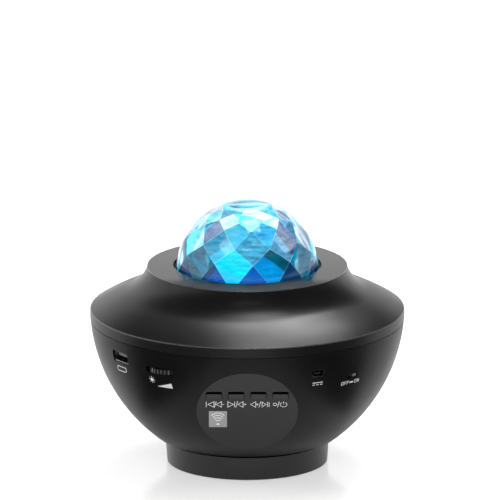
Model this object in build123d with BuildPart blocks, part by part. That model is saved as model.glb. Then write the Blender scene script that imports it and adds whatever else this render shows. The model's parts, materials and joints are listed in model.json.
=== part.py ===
from build123d import *
from math import acos, copysign, cos, hypot, pi, radians, sin, sqrt, tan
import os

# A dome light projector: a bowl on a round foot, a flared top cover with a collar,
# and a clear dome that is smooth outside and faceted inside. Millimetres, +Z up, the
# origin on the floor under the middle, the control panel facing -Y.

os.makedirs("parts", exist_ok=True)

# Fits that many pieces share
overrun = 1.0
seat_gap = 0.1
thread_gap = 0.05
running_gap = 0.3
on_base = (Align.CENTER, Align.CENTER, Align.MIN)

# Shell
wall = 2.2
rim_radius = 84.0
rim_edge_radius = 1.1
band_height = 5.6
parting_step = 0.2
parting_groove = 0.4
bowl_height = 63.7
bowl_base_radius = 48.0
bowl_sagitta = 7.8
shoulder_angle = 27.0
shoulder_turn = 6.0
neck_foot_radius = 66.0
neck_arc_radius = 20.84
collar_radius = 53.4
collar_edge = 0.5
collar_fall = 0.4
collar_thickness = 2.4
lap_depth = 4.0
lap_thickness = 1.6

# Foot and its pads
foot_height = 12.4
foot_top_radius = 43.7
foot_bottom_radius = 42.8
foot_edge_radius = 0.4
foot_wall = 2.2
foot_floor = 2.0
shadow_gap = 2.0
spigot_depth = 4.2
spigot_thickness = 1.4
pad_proud = 0.4
pad_seat = 1.0
pad_radius = 5.0
grille_slots = 12
grille_slot_width = 2.2
grille_rings = 2
grille_inner_radius = 5.0
grille_ring_width = 7.0
grille_web = 1.8

# Dome and its faceted inside
dome_radius = 38.05
dome_gap = 1.55
dome_sink = 3.2
dome_flange_radius = 45.4
facet_radius = 35.4
facet_count = 10
facet_rows = 4
facet_turn = 5.0
facet_base_latitude = -3.6
facet_first_latitude = 18.6
retainer_thickness = 2.0
retainer_inner_radius = 37.0
retainer_boss_radius = 2.4
retainer_screw_ring = 48.3

# Control panel: a flat cut in the front of the bowl
panel_tilt = 28.8
panel_middle_height = 31.2
panel_depth = 4.45

# Buttons and the board behind them
button_count = 4
button_pitch = 11.8
button_rise = 11.4
button_width = 8.7
button_height = 5.6
button_corner = 1.0
button_gap = 0.3
button_pad_height = 3.7
button_pad_proud = 0.25
button_step = 2.0
button_lip = 0.7
button_flange = 1.0
button_stem_radius = 1.1
button_stem_length = 1.9
button_travel = 0.8
tact_width = 5.0
tact_height = 2.4
button_board_width = 46.0
button_board_height = 28.0
button_board_margin = 5.0
button_board_boss_drop = 9.5
button_board_boss_spread = 19.5
receiver_width = 5.4
receiver_height = 6.6
receiver_depth = 3.6
receiver_lens_radius = 2.2
receiver_shift = 14.5
receiver_drop = 18.0

# Main board
board_thickness = 1.2
board_drop = 14.35
board_edge_gap = 2.2
board_opening_gap = 1.8
board_front_gap = 1.0
board_boss_inset = 14.0
board_boss_radius = 3.2
board_boss_azimuths = (-78.0, 78.0, 135.0, -135.0)

# USB socket
usb_azimuth = -55.2
usb_width = 13.1
usb_height = 5.7
usb_length = 14.0
usb_lift = 1.2
usb_sheet = 0.35
usb_corner = 0.6
usb_tongue_width = 11.1
usb_tongue_thickness = 1.8
usb_tongue_recess = 1.6
usb_back = 1.5

# DC socket
dc_azimuth = 27.7
dc_top_width = 7.7
dc_bottom_width = 5.7
dc_height = 4.0
dc_shoulder = 2.2
dc_length = 8.5
dc_sheet = 0.35
dc_tongue_width = 3.9
dc_tongue_thickness = 0.9
dc_tongue_recess = 1.0
dc_back = 1.2
socket_gap = 0.2
socket_sink = 0.5

# Brightness thumbwheel
dial_azimuth = -34.9
dial_radius = 10.0
dial_thickness = 2.4
dial_proud = 1.0
dial_ridges = 30
dial_groove_radius = 0.5
dial_slot_margin = 0.4
dial_cap = 0.7
pot_radius = 4.4
pot_height = 0.6
pot_spindle_radius = 1.8

# Slide switch
switch_azimuth = 43.5
switch_width = 9.0
switch_height = 3.0
switch_depth = 5.0
switch_throw = 4.0
knob_width = 2.4
knob_height = 1.5
knob_sink = 0.4
knob_foot_width = 4.2
knob_foot_thickness = 0.7
switch_slot_margin = 0.6

# Optical deck
engine_height = 12.6
deck_thickness = 2.5
deck_radius = 58.0
deck_boss_ring = 54.0
deck_boss_radius = 3.0
tower_ring = 36.0
tower_radius = 4.2
tower_web = 2.5
case_boss_height = 3.0

# Light well, lamps and heat sink
well_radius = 15.0
well_wall = 2.0
well_height = 5.0
well_ledge = 1.7
ledge_thickness = 1.0
ledge_rise = 0.3
led_board_radius = 12.8
led_board_thickness = 1.6
led_count = 4
led_ring = 5.6
led_width = 3.5
led_height = 0.9
led_lens_radius = 1.3
sink_length = 42.0
sink_width = 36.0
sink_base = 3.0
sink_fins = 7
sink_fin_thickness = 1.2
sink_fin_height = 9.0
sink_screw_inset = 3.6
condenser_flange = 1.0
condenser_crown = 4.6
keeper_lip = 1.4
keeper_thickness = 1.2
keeper_wall = 1.3

# Ripple lens and its gears
gear_module = 0.7
pressure_angle = 20.0
addendum_share = 0.8
dedendum_share = 1.1
gear_backlash = 0.12
ripple_teeth = 60
pinion_teeth = 12
grating_teeth = 24
gear_thickness = 4.0
lens_skirt = 2.2
lens_crown = 15.0
lens_wall = 1.3

# Geared motor
motor_direction = 180.0
motor_width = 12.0
motor_depth = 10.0
gearbox_height = 9.0
can_height = 15.0
can_edge = 0.6
shaft_radius = 1.5
shaft_socket = 5.0
motor_screw_spread = 4.3

# Laser
laser_direction = 90.0
laser_radius = 4.5
laser_length = 24.0
laser_sink = 0.6
laser_lens_radius = 3.2
laser_lens_thickness = 1.0
laser_lens_edge = 0.25
laser_tube_wall = 1.5
laser_socket_wall = 2.0
laser_socket_depth = 11.0
set_screw_radius = 1.2
set_screw_drop = 6.0
film_thickness = 0.3
film_margin = 0.5

# Speaker
speaker_radius = 20.5
speaker_mouth_radius = 16.4
speaker_flange = 1.0
speaker_ear_radius = 2.6
speaker_screw_ring = 21.6
gasket_thickness = 0.8
basket_sheet = 0.9
basket_height = 9.2
basket_top_radius = 12.5
basket_windows = 4
basket_window_width = 11.0
basket_window_margin = 1.6
plate_thickness = 1.2
magnet_radius = 13.5
magnet_height = 7.0
coil_radius = 6.6
coil_wall = 0.8
coil_reach = 3.0
coil_gap = 0.6
cone_radius = 13.6
cone_rise = 6.0
cone_sheet = 0.5
cone_lift = 0.3
dust_cap_rise = 2.0
surround_rise = 1.0

# Screws: shank radius, head radius and head height of the two sizes, then lengths
screw_radius = 1.3
screw_head_radius = 2.4
screw_head_height = 1.8
small_screw_radius = 0.9
small_screw_head_radius = 1.7
small_screw_head_height = 1.2
screw_tip_gap = 0.5
foot_screw_grip = 3.0
foot_screw_bite = 6.0
foot_boss_radius = 4.2
foot_boss_gap = 1.3
floor_boss_height = 7.5
floor_boss_radius = 3.4

# Small parts on the main board
chip_sizes = ((14.0, 10.0, 1.8), (9.0, 7.0, 1.6), (18.0, 12.0, 2.2))
chip_azimuths = (180.0, 205.0, 150.0)
chip_inset = 14.0
capacitor_radius = 3.2
capacitor_height = 8.0
capacitor_edge = 0.6
capacitor_azimuths = (95.0, 108.0, -100.0)
capacitor_inset = 11.0
header_size = (7.5, 4.6, 5.0)
header_wall = 0.8
header_azimuths = (-115.0, -158.0, 75.0, 122.0)
header_inset = 7.0

# Heights, from the floor up
foot_z = pad_proud
foot_top_z = foot_z + foot_height
bowl_z = foot_top_z + shadow_gap
bowl_floor_z = bowl_z + wall
parting_z = bowl_z + bowl_height
rim_z = parting_z + band_height
board_z = parting_z - board_drop
board_top_z = board_z + board_thickness

# The bowl's side is one arc, from its rim to its base
bowl_rim_radius = rim_radius - parting_step
bowl_chord = hypot(bowl_rim_radius - bowl_base_radius, bowl_height)
bowl_arc_radius = (bowl_chord**2 / 4 + bowl_sagitta**2) / (2 * bowl_sagitta)
bowl_out_r = bowl_height / bowl_chord
bowl_out_z = (bowl_base_radius - bowl_rim_radius) / bowl_chord
bowl_arc_depth = bowl_arc_radius - bowl_sagitta
bowl_centre_r = (bowl_rim_radius + bowl_base_radius) / 2 - bowl_out_r * bowl_arc_depth
bowl_centre_z = (parting_z + bowl_z) / 2 - bowl_out_z * bowl_arc_depth


def bowl_radius(z, inset=0):
    """Radius of the bowl's side at height z, or of a skin set in from it."""
    return bowl_centre_r + sqrt((bowl_arc_radius - inset) ** 2 - (z - bowl_centre_z) ** 2)


def wall_face(z, width):
    """How far out a flat face of a width can stand inside the bowl's wall at height z."""
    return sqrt(bowl_radius(z, wall) ** 2 - width**2 / 4)


def outer_face(z, width):
    """How far out a flat face of a width can stand before it breaks the bowl's skin at height z."""
    return sqrt(bowl_radius(z) ** 2 - width**2 / 4)


# The main board fills the bowl at its height, round the towers
board_radius = bowl_radius(board_z, wall) - board_edge_gap
board_opening_radius = tower_ring + tower_radius + board_opening_gap
board_boss_ring = board_radius - board_boss_inset
chip_ring = board_radius - chip_inset
capacitor_ring = board_radius - capacitor_inset
header_ring = board_opening_radius + header_inset

# The shoulder is a slow arc that turns this much each way from its mean slope, and the neck is
# one hollow arc that runs out into it
shoulder_sin = sin(radians(shoulder_angle))
shoulder_cos = cos(radians(shoulder_angle))
shoulder_tan = tan(radians(shoulder_angle))
neck_foot_z = rim_z + (rim_radius - neck_foot_radius) * shoulder_tan
shoulder_crown = (rim_radius - neck_foot_radius) / shoulder_cos / 2 * tan(radians(shoulder_turn / 2))
shoulder_middle_r = (rim_radius + neck_foot_radius) / 2 + shoulder_crown * shoulder_sin
shoulder_middle_z = (rim_z + neck_foot_z) / 2 + shoulder_crown * shoulder_cos
neck_sin = sin(radians(shoulder_angle - shoulder_turn))
neck_cos = cos(radians(shoulder_angle - shoulder_turn))
neck_centre_r = neck_foot_radius + neck_arc_radius * neck_sin
neck_centre_z = neck_foot_z + neck_arc_radius * neck_cos
collar_edge_z = neck_centre_z - sqrt(neck_arc_radius**2 - (neck_centre_r - collar_radius) ** 2)
collar_z = collar_edge_z + collar_edge + collar_fall
collar_under_z = collar_z - collar_thickness


def neck_radius(z, inset=0):
    """Radius of the neck at height z, or of a skin set in from it."""
    return neck_centre_r - sqrt((neck_arc_radius + inset) ** 2 - (neck_centre_z - z) ** 2)


# Rings of facet corners: each ring lies on the facet sphere, where the flat facet that
# starts one ring lower and passes between two corners of the ring below meets it
facet_step = 360.0 / facet_count
facet_rings = []
for latitude in (facet_base_latitude, facet_first_latitude):
    ring_radius = facet_radius * cos(radians(latitude))
    facet_rings.append((ring_radius, facet_radius * sin(radians(latitude))))
for row in range(facet_rows):
    low_r, low_z = facet_rings[row]
    side_r, side_z = facet_rings[row + 1]
    run_r = side_r * cos(radians(facet_step / 2)) - low_r
    run_z = side_z - low_z
    reach = -2 * (low_r * run_r + low_z * run_z) / (run_r**2 + run_z**2)
    facet_rings.append((low_r + reach * run_r, low_z + reach * run_z))

dome_z = collar_z - dome_sink
dome_base_z = dome_z + facet_rings[0][1]
dome_hole_radius = dome_radius + dome_gap
retainer_z = dome_base_z - retainer_thickness
deck_top_z = dome_base_z - engine_height
deck_z = deck_top_z - deck_thickness
tower_top_z = deck_z - case_boss_height
gear_z = deck_top_z + running_gap
gear_top_z = gear_z + gear_thickness
well_top_z = max(deck_top_z + well_height, gear_top_z + running_gap)
well_outer_radius = well_radius + well_wall


def azimuth_plane(azimuth, z):
    """Plane on the axis at height z: Z outwards, X to the right as seen from outside."""
    turn = radians(azimuth)
    return Plane((0, 0, z), x_dir=(cos(turn), sin(turn), 0), z_dir=(sin(turn), -cos(turn), 0))


def azimuth_point(radius, azimuth):
    """Point in plan at a radius and an azimuth, counted from the front to the right."""
    return (radius * sin(radians(azimuth)), -radius * cos(radians(azimuth)))


def quarter_points(radius, first):
    """Four points in plan, a quarter turn apart, from a first azimuth."""
    return [azimuth_point(radius, first + 90.0 * i) for i in range(4)]


def direction_point(radius, direction):
    """Point in plan at a radius and a direction, counted from +X."""
    return (radius * cos(radians(direction)), radius * sin(radians(direction)))


def crown_arc(radius, z, rise):
    """Half of a round crown in section: an arc from its rim at height z to its apex."""
    arc_radius = (radius**2 + rise**2) / (2 * abs(rise))
    middle_fall = arc_radius - sqrt(arc_radius**2 - radius**2 / 4)
    middle_z = z + rise - copysign(middle_fall, rise)
    return ThreePointArc((radius, z), (radius / 2, middle_z), (0, z + rise))


def gear_points(teeth, turn):
    """Corners of a spur gear, four to a tooth, on the chords of its involute flanks."""
    pressure = radians(pressure_angle)
    pitch_radius = gear_module * teeth / 2
    base_radius = pitch_radius * cos(pressure)
    tip_radius = pitch_radius + addendum_share * gear_module
    root_radius = pitch_radius - dedendum_share * gear_module
    points = []

    def half_angle(radius):
        slope = acos(min(1.0, base_radius / radius))
        unwound = tan(pressure) - pressure - tan(slope) + slope
        return pi / (2 * teeth) - gear_backlash / (2 * pitch_radius) + unwound

    tip = half_angle(tip_radius)
    root = half_angle(max(root_radius, base_radius))
    for tooth in range(teeth):
        middle = radians(turn) + 2 * pi * tooth / teeth
        corners = ((root_radius, -root), (tip_radius, -tip), (tip_radius, tip), (root_radius, root))
        for radius, offset_angle in corners:
            angle = middle + offset_angle
            points.append((radius * cos(angle), radius * sin(angle)))
    return points


def mesh_turn(direction, driver_teeth, teeth):
    """Turn of a gear whose gap takes the driver's tooth, in a direction from the driver."""
    off_tooth = direction % (360.0 / driver_teeth)
    return direction + 180.0 + 180.0 / teeth + off_tooth * driver_teeth / teeth


def screw_solid(length, small=False):
    """Pan-head screw along +Z: the underside of its head at the origin, the tip up."""
    shank = small_screw_radius if small else screw_radius
    head = small_screw_head_radius if small else screw_head_radius
    height = small_screw_head_height if small else screw_head_height
    round_mid = height * sin(pi / 4) / 2
    with BuildPart() as screw:
        with BuildSketch(Plane.XZ):
            with BuildLine():
                Polyline((0, -height), (head - height / 2, -height))
                ThreePointArc(
                    (head - height / 2, -height),
                    (head - height / 2 + round_mid, -height / 2 - round_mid),
                    (head, -height / 2),
                )
                Polyline((head, -height / 2), (head, 0), (shank, 0), (shank, length - shank))
                Polyline((shank, length - shank), (0, length), (0, -height))
            make_face()
        revolve(axis=Axis.Z)
    return screw.part


# Planes of the control panel: its face, its back, and its button row
panel_sin = sin(radians(panel_tilt))
panel_cos = cos(radians(panel_tilt))
panel_middle_z = bowl_z + panel_middle_height
panel_middle_r = bowl_radius(panel_middle_z) - panel_depth / panel_cos
panel_plane = Plane(
    (0, -panel_middle_r, panel_middle_z), x_dir=(1, 0, 0), z_dir=(0, -panel_cos, -panel_sin)
)
panel_back = panel_plane.offset(-wall)
button_xs = [(i - (button_count - 1) / 2) * button_pitch for i in range(button_count)]
flange_face = wall + seat_gap
stem_face = flange_face + button_flange
stem_tip = stem_face + button_stem_length
tact_face = stem_tip - seat_gap
tact_well_depth = button_travel + 2 * running_gap
button_board_face = tact_face + tact_height
button_board_top = button_rise + button_board_margin
button_board_middle = button_board_top - button_board_height / 2
button_board_back = button_board_face + board_thickness
boss_xs = (-button_board_boss_spread, button_board_boss_spread)
board_boss_points = [(x, button_rise - button_board_boss_drop) for x in boss_xs]
board_screw_bite = button_board_face - wall - screw_tip_gap

# Where the main board's straight front edge stops, behind the button board and its screws
button_board_depth = button_board_back + small_screw_head_height
button_board_top_z = panel_middle_z + button_board_top * panel_cos + button_board_depth * panel_sin
board_level = min(board_z, button_board_top_z) - panel_middle_z
button_board_back_r = panel_middle_r + (board_level * panel_sin - button_board_depth) / panel_cos
board_front = button_board_back_r - board_front_gap

# Sockets, wheel and switch in the wall of the bowl
usb_z = board_top_z + usb_lift + usb_height / 2
usb_front = outer_face(usb_z - usb_height / 2, usb_width) - socket_sink
usb_plane = azimuth_plane(usb_azimuth, usb_z)
dc_z = board_top_z + dc_height / 2
dc_front = outer_face(dc_z - dc_height / 2, dc_top_width) - socket_sink
dc_plane = azimuth_plane(dc_azimuth, dc_z)
dc_side = dc_height / 2 - dc_shoulder
dc_outline = [
    (-dc_top_width / 2, dc_height / 2),
    (-dc_top_width / 2, dc_side),
    (-dc_bottom_width / 2, -dc_height / 2),
    (dc_bottom_width / 2, -dc_height / 2),
    (dc_top_width / 2, dc_side),
    (dc_top_width / 2, dc_height / 2),
]
dial_z = board_top_z + pot_height + seat_gap
dial_middle_z = dial_z + dial_thickness / 2
dial_ring = bowl_radius(dial_middle_z) + dial_proud - dial_radius
dial_point = azimuth_point(dial_ring, dial_azimuth)
dial_inner_face = wall_face(dial_z, 2 * dial_radius) - dial_ring
dial_slot_width = 2 * sqrt(dial_radius**2 - dial_inner_face**2) + 2 * dial_slot_margin
switch_z = board_z - switch_height / 2
switch_face = bowl_radius(switch_z - switch_height / 2, wall) - knob_foot_thickness - 2 * running_gap
switch_plane = azimuth_plane(switch_azimuth, switch_z)
knob_tip = bowl_radius(switch_z) - knob_sink
slot_width = switch_throw + knob_width + 2 * switch_slot_margin
slot_height = knob_height + 2 * switch_slot_margin

# Spigot of the bowl, in the mouth of the foot, with the foot's screw bosses inside it
spigot_z = bowl_z - spigot_depth
foot_slope = (foot_top_radius - foot_bottom_radius) / foot_height
spigot_mouth_radius = min(foot_top_radius, foot_top_radius - (foot_top_z - spigot_z) * foot_slope)
spigot_outer = spigot_mouth_radius - foot_wall - running_gap
spigot_inner = spigot_outer - spigot_thickness
foot_screw_ring = min(spigot_inner, foot_bottom_radius - foot_wall) - foot_boss_radius - foot_boss_gap

# Stations of the light engine, in plan
tower_points = quarter_points(tower_ring, 45.0)
deck_boss_points = quarter_points(deck_boss_ring, 0)
retainer_points = quarter_points(retainer_screw_ring, 45.0)
foot_points = quarter_points(foot_screw_ring, 0)
speaker_points = quarter_points(speaker_screw_ring, 45.0)
board_points = [azimuth_point(board_boss_ring, azimuth) for azimuth in board_boss_azimuths]
motor_distance = gear_module * (ripple_teeth + pinion_teeth) / 2
grating_distance = gear_module * (ripple_teeth + grating_teeth) / 2
motor_point = direction_point(motor_distance, motor_direction)
laser_point = direction_point(grating_distance, laser_direction)
motor_seat_z = deck_top_z - small_screw_head_height
laser_tube_radius = laser_radius + seat_gap + laser_tube_wall
laser_socket_radius = laser_radius + seat_gap + laser_socket_wall
laser_tube_top_z = gear_top_z - film_thickness
sink_pitch = (sink_width - sink_fin_thickness) / (sink_fins - 1)
sink_screw_x = (sink_width - sink_fin_thickness - sink_pitch) / 2
sink_screw_y = sink_length / 2 - sink_screw_inset

# Top cover: the space inside it, with the screw bosses left standing
with BuildPart() as cover_core:
    inner_foot_r = neck_foot_radius - wall * neck_sin
    inner_foot_z = neck_foot_z - wall * neck_cos
    band_inner = rim_radius - wall
    band_inner_z = inner_foot_z - (band_inner - inner_foot_r) * shoulder_tan
    middle_z = (inner_foot_z + collar_under_z) / 2
    top_inner = neck_radius(collar_under_z, wall)
    with BuildSketch(Plane.XZ):
        with BuildLine():
            Line((0, parting_z - overrun), (band_inner, parting_z - overrun))
            Line((band_inner, parting_z - overrun), (band_inner, band_inner_z))
            Line((band_inner, band_inner_z), (inner_foot_r, inner_foot_z))
            ThreePointArc(
                (inner_foot_r, inner_foot_z),
                (neck_radius(middle_z, wall), middle_z),
                (top_inner, collar_under_z),
            )
            Polyline((top_inner, collar_under_z), (0, collar_under_z), (0, parting_z - overrun))
        make_face()
    revolve(axis=Axis.Z)
    with BuildSketch(Plane.XY.offset(deck_top_z)):
        with Locations(*deck_boss_points):
            Circle(deck_boss_radius)
    extrude(amount=collar_z - deck_top_z, mode=Mode.SUBTRACT)
    with BuildSketch(Plane.XY.offset(dome_base_z)):
        with Locations(*retainer_points):
            Circle(retainer_boss_radius)
    extrude(amount=collar_z - dome_base_z, mode=Mode.SUBTRACT)

with BuildPart() as top_cover:
    middle_z = (neck_foot_z + collar_edge_z) / 2
    band_radius = rim_radius - parting_step / 2
    lap_outer = bowl_radius(parting_z - lap_depth, wall) - seat_gap
    lap_inner = lap_outer - lap_thickness
    lap_top_z = parting_z + wall
    with BuildSketch(Plane.XZ) as cover_profile:
        with BuildLine():
            Polyline(
                (0, parting_z),
                (band_radius - parting_groove, parting_z),
                (band_radius, parting_z + parting_groove),
                (rim_radius, rim_z),
            )
            ThreePointArc(
                (rim_radius, rim_z),
                (shoulder_middle_r, shoulder_middle_z),
                (neck_foot_radius, neck_foot_z),
            )
            ThreePointArc(
                (neck_foot_radius, neck_foot_z),
                (neck_radius(middle_z), middle_z),
                (collar_radius, collar_edge_z),
            )
            Line((collar_radius, collar_edge_z), (collar_radius, collar_edge_z + collar_edge))
            Line((collar_radius, collar_edge_z + collar_edge), (dome_hole_radius, collar_z))
            Polyline((dome_hole_radius, collar_z), (0, collar_z), (0, parting_z))
        make_face()
        fillet(cover_profile.vertices().sort_by(Axis.X)[-1], radius=rim_edge_radius)
    revolve(axis=Axis.Z)
    add(cover_core.part, mode=Mode.SUBTRACT)
    with BuildSketch(Plane.XY.offset(collar_z + overrun)):
        Circle(dome_hole_radius)
    extrude(amount=-collar_thickness - 2 * overrun, mode=Mode.SUBTRACT)
    with BuildSketch(Plane.XZ):
        with BuildLine():
            Polyline(
                (lap_inner, parting_z - lap_depth),
                (lap_outer, parting_z - lap_depth),
                (lap_outer, parting_z),
                (band_inner + wall / 2, parting_z),
                (band_inner + wall / 2, lap_top_z),
                (lap_inner, lap_top_z),
                close=True,
            )
        make_face()
    revolve(axis=Axis.Z)
    with Locations(*[(x, y, deck_top_z) for x, y in deck_boss_points]):
        Cylinder(
            screw_radius + thread_gap,
            2 * (floor_boss_height - wall),
            mode=Mode.SUBTRACT,
        )
    with Locations(*[(x, y, dome_base_z) for x, y in retainer_points]):
        Cylinder(
            small_screw_radius + thread_gap,
            2 * (collar_z - dome_base_z - wall),
            mode=Mode.SUBTRACT,
        )
top_cover.part.label = "top_cover"
export_step(top_cover.part, "parts/top_cover.step")

# Lower bowl: the space inside it, with the board bosses left standing
with BuildPart() as bowl_core:
    core_top_z = parting_z + overrun
    middle_z = (parting_z + bowl_z) / 2
    floor_radius = bowl_radius(bowl_floor_z, wall)
    with BuildSketch(Plane.XZ):
        with BuildLine():
            Polyline((0, core_top_z), (0, bowl_floor_z), (floor_radius, bowl_floor_z))
            ThreePointArc(
                (floor_radius, bowl_floor_z),
                (bowl_radius(middle_z, wall), middle_z),
                (bowl_radius(core_top_z, wall), core_top_z),
            )
            Line((bowl_radius(core_top_z, wall), core_top_z), (0, core_top_z))
        make_face()
    revolve(axis=Axis.Z)
    split(bisect_by=panel_back, keep=Keep.BOTTOM)
    with BuildSketch(Plane.XY.offset(board_z)):
        with Locations(*board_points):
            Circle(board_boss_radius)
    extrude(amount=bowl_z - board_z, mode=Mode.SUBTRACT)
    with BuildSketch(Plane.XY.offset(bowl_z)):
        with Locations(*foot_points):
            Circle(floor_boss_radius)
    extrude(amount=wall + floor_boss_height, mode=Mode.SUBTRACT)

with BuildPart() as lower_bowl:
    with BuildSketch(Plane.XZ):
        with BuildLine():
            Polyline((0, parting_z), (0, bowl_z), (bowl_base_radius, bowl_z))
            ThreePointArc(
                (bowl_base_radius, bowl_z),
                (bowl_radius(middle_z), middle_z),
                (bowl_rim_radius, parting_z),
            )
            Line((bowl_rim_radius, parting_z), (0, parting_z))
        make_face()
    revolve(axis=Axis.Z)
    split(bisect_by=panel_plane, keep=Keep.BOTTOM)
    add(bowl_core.part, mode=Mode.SUBTRACT)
    # Spigot that drops into the mouth of the foot
    with BuildSketch(Plane.XY.offset(spigot_z)):
        Circle(spigot_outer)
        Circle(spigot_inner, mode=Mode.SUBTRACT)
    extrude(amount=spigot_depth + wall / 2)
    # Towers that carry the optical deck, open from below for the case screws
    with BuildSketch(Plane.XY.offset(bowl_z)):
        with Locations(*tower_points):
            Circle(tower_radius)
    extrude(amount=tower_top_z - bowl_z)
    with BuildSketch(Plane.XY.offset(bowl_z)):
        with Locations(*tower_points):
            Circle(screw_head_radius + running_gap)
    extrude(amount=tower_top_z - tower_web - bowl_z, mode=Mode.SUBTRACT)
    with BuildSketch(Plane.XY.offset(bowl_z)):
        with Locations(*tower_points):
            Circle(screw_radius + seat_gap)
    extrude(amount=tower_top_z - bowl_z + overrun, mode=Mode.SUBTRACT)
    # Speaker mouth and the pilot holes of the floor
    with BuildSketch(Plane.XY.offset(bowl_z - overrun)):
        Circle(speaker_mouth_radius)
        with Locations(*speaker_points):
            Circle(small_screw_radius + thread_gap)
    extrude(amount=wall + 2 * overrun, mode=Mode.SUBTRACT)
    with BuildSketch(Plane.XY.offset(bowl_z)):
        with Locations(*foot_points):
            Circle(screw_radius + thread_gap)
    extrude(amount=foot_screw_bite + screw_tip_gap, mode=Mode.SUBTRACT)
    with BuildSketch(Plane.XY.offset(board_z)):
        with Locations(*board_points):
            Circle(small_screw_radius + thread_gap)
    extrude(amount=-floor_boss_height, mode=Mode.SUBTRACT)
    # Slots of the buttons, and the bosses of the button board
    with BuildSketch(panel_plane.offset(overrun)):
        with Locations(*[(x, button_rise) for x in button_xs]):
            RectangleRounded(button_width, button_height, button_corner)
    extrude(amount=-wall - 2 * overrun, mode=Mode.SUBTRACT)
    with BuildSketch(panel_back):
        with Locations(*[(x, button_rise) for x in button_xs]):
            Rectangle(
                button_width + 2 * (button_lip + button_gap), button_height + 2 * (button_lip + button_gap)
            )
    extrude(amount=wall - button_board_face, mode=Mode.SUBTRACT)
    with BuildSketch(panel_plane.offset(-wall / 2)):
        with Locations(*board_boss_points):
            Circle(board_boss_radius)
    extrude(amount=wall / 2 - button_board_face)
    with BuildSketch(panel_plane.offset(-button_board_face)):
        with Locations(*board_boss_points):
            Circle(small_screw_radius + thread_gap)
    extrude(amount=button_board_face - wall, mode=Mode.SUBTRACT)
    # Mouths of the sockets, the wheel and the switch
    with BuildSketch(usb_plane.offset(board_radius)):
        RectangleRounded(
            usb_width + 2 * socket_gap, usb_height + 2 * socket_gap, usb_corner + socket_gap
        )
    extrude(amount=rim_radius - board_radius, mode=Mode.SUBTRACT)
    with BuildSketch(dc_plane.offset(board_radius)):
        with BuildLine():
            Polyline(*dc_outline, close=True)
        make_face()
        offset(amount=socket_gap, kind=Kind.INTERSECTION, mode=Mode.REPLACE)
    extrude(amount=rim_radius - board_radius, mode=Mode.SUBTRACT)
    with BuildSketch(azimuth_plane(dial_azimuth, dial_middle_z).offset(dial_ring)):
        RectangleRounded(
            dial_slot_width, dial_thickness + 2 * dial_slot_margin, dial_slot_margin
        )
    extrude(amount=rim_radius - dial_ring, mode=Mode.SUBTRACT)
    with BuildSketch(switch_plane.offset(switch_face)):
        RectangleRounded(slot_width, slot_height, switch_slot_margin)
    extrude(amount=rim_radius - switch_face, mode=Mode.SUBTRACT)
lower_bowl.part.label = "lower_bowl"
export_step(lower_bowl.part, "parts/lower_bowl.step")

# Foot: a shallow tapered cup with a slotted floor under the speaker
with BuildPart() as foot:
    with BuildSketch(Plane.XZ) as foot_profile:
        with BuildLine():
            Polyline(
                (0, foot_z),
                (foot_bottom_radius, foot_z),
                (foot_top_radius, foot_top_z),
                (foot_top_radius - foot_wall, foot_top_z),
                (foot_bottom_radius - foot_wall, foot_z + foot_floor),
                (0, foot_z + foot_floor),
                close=True,
            )
        make_face()
        outer_corner = foot_profile.vertices().group_by(Axis.Y)[0].sort_by(Axis.X)[-1]
        fillet(outer_corner, radius=foot_edge_radius)
    revolve(axis=Axis.Z)
    with BuildSketch(Plane.XY.offset(foot_z)):
        with Locations(*foot_points):
            Circle(foot_boss_radius)
    extrude(amount=bowl_z - foot_z)
    with BuildSketch(Plane.XY.offset(foot_z)):
        with Locations(*foot_points):
            Circle(screw_head_radius + running_gap)
    extrude(amount=bowl_z - foot_z - foot_screw_grip, mode=Mode.SUBTRACT)
    with BuildSketch(Plane.XY.offset(foot_z)):
        with Locations(*foot_points):
            Circle(screw_radius + seat_gap)
    extrude(amount=bowl_z - foot_z + overrun, mode=Mode.SUBTRACT)
    with BuildSketch(Plane.XY.offset(foot_z)):
        with Locations(*foot_points):
            Circle(pad_radius + seat_gap)
    extrude(amount=pad_seat, mode=Mode.SUBTRACT)
    with BuildSketch(Plane.XY.offset(foot_z - overrun)):
        for ring in range(grille_rings):
            slot_middle = grille_inner_radius + (ring + 1 / 2) * (grille_ring_width + grille_web)
            with PolarLocations(slot_middle, grille_slots):
                SlotOverall(grille_ring_width, grille_slot_width)
    extrude(amount=foot_floor + 2 * overrun, mode=Mode.SUBTRACT)
foot.part.label = "foot"
export_step(foot.part, "parts/foot.step")

# Rubber pads, stuck over the foot screws
with BuildPart() as foot_pads:
    with BuildSketch():
        with Locations(*foot_points):
            Circle(pad_radius)
    extrude(amount=pad_proud + pad_seat)
    chamfer(foot_pads.edges().group_by(Axis.Z)[0], length=pad_seat / 2)
foot_pads.part.label = "foot_pads"
export_step(foot_pads.part, "parts/foot_pads.step")

foot_screw = screw_solid(foot_screw_grip + foot_screw_bite)
with BuildPart() as foot_screws:
    with Locations(*[(x, y, bowl_z - foot_screw_grip) for x, y in foot_points]):
        add(foot_screw)
foot_screws.part.label = "foot_screws"
export_step(foot_screws.part, "parts/foot_screws.step")

case_screw = screw_solid(tower_web + case_boss_height + deck_thickness - screw_tip_gap)
with BuildPart() as case_screws:
    with Locations(*[(x, y, tower_top_z - tower_web) for x, y in tower_points]):
        add(case_screw)
case_screws.part.label = "case_screws"
export_step(case_screws.part, "parts/case_screws.step")

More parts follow.
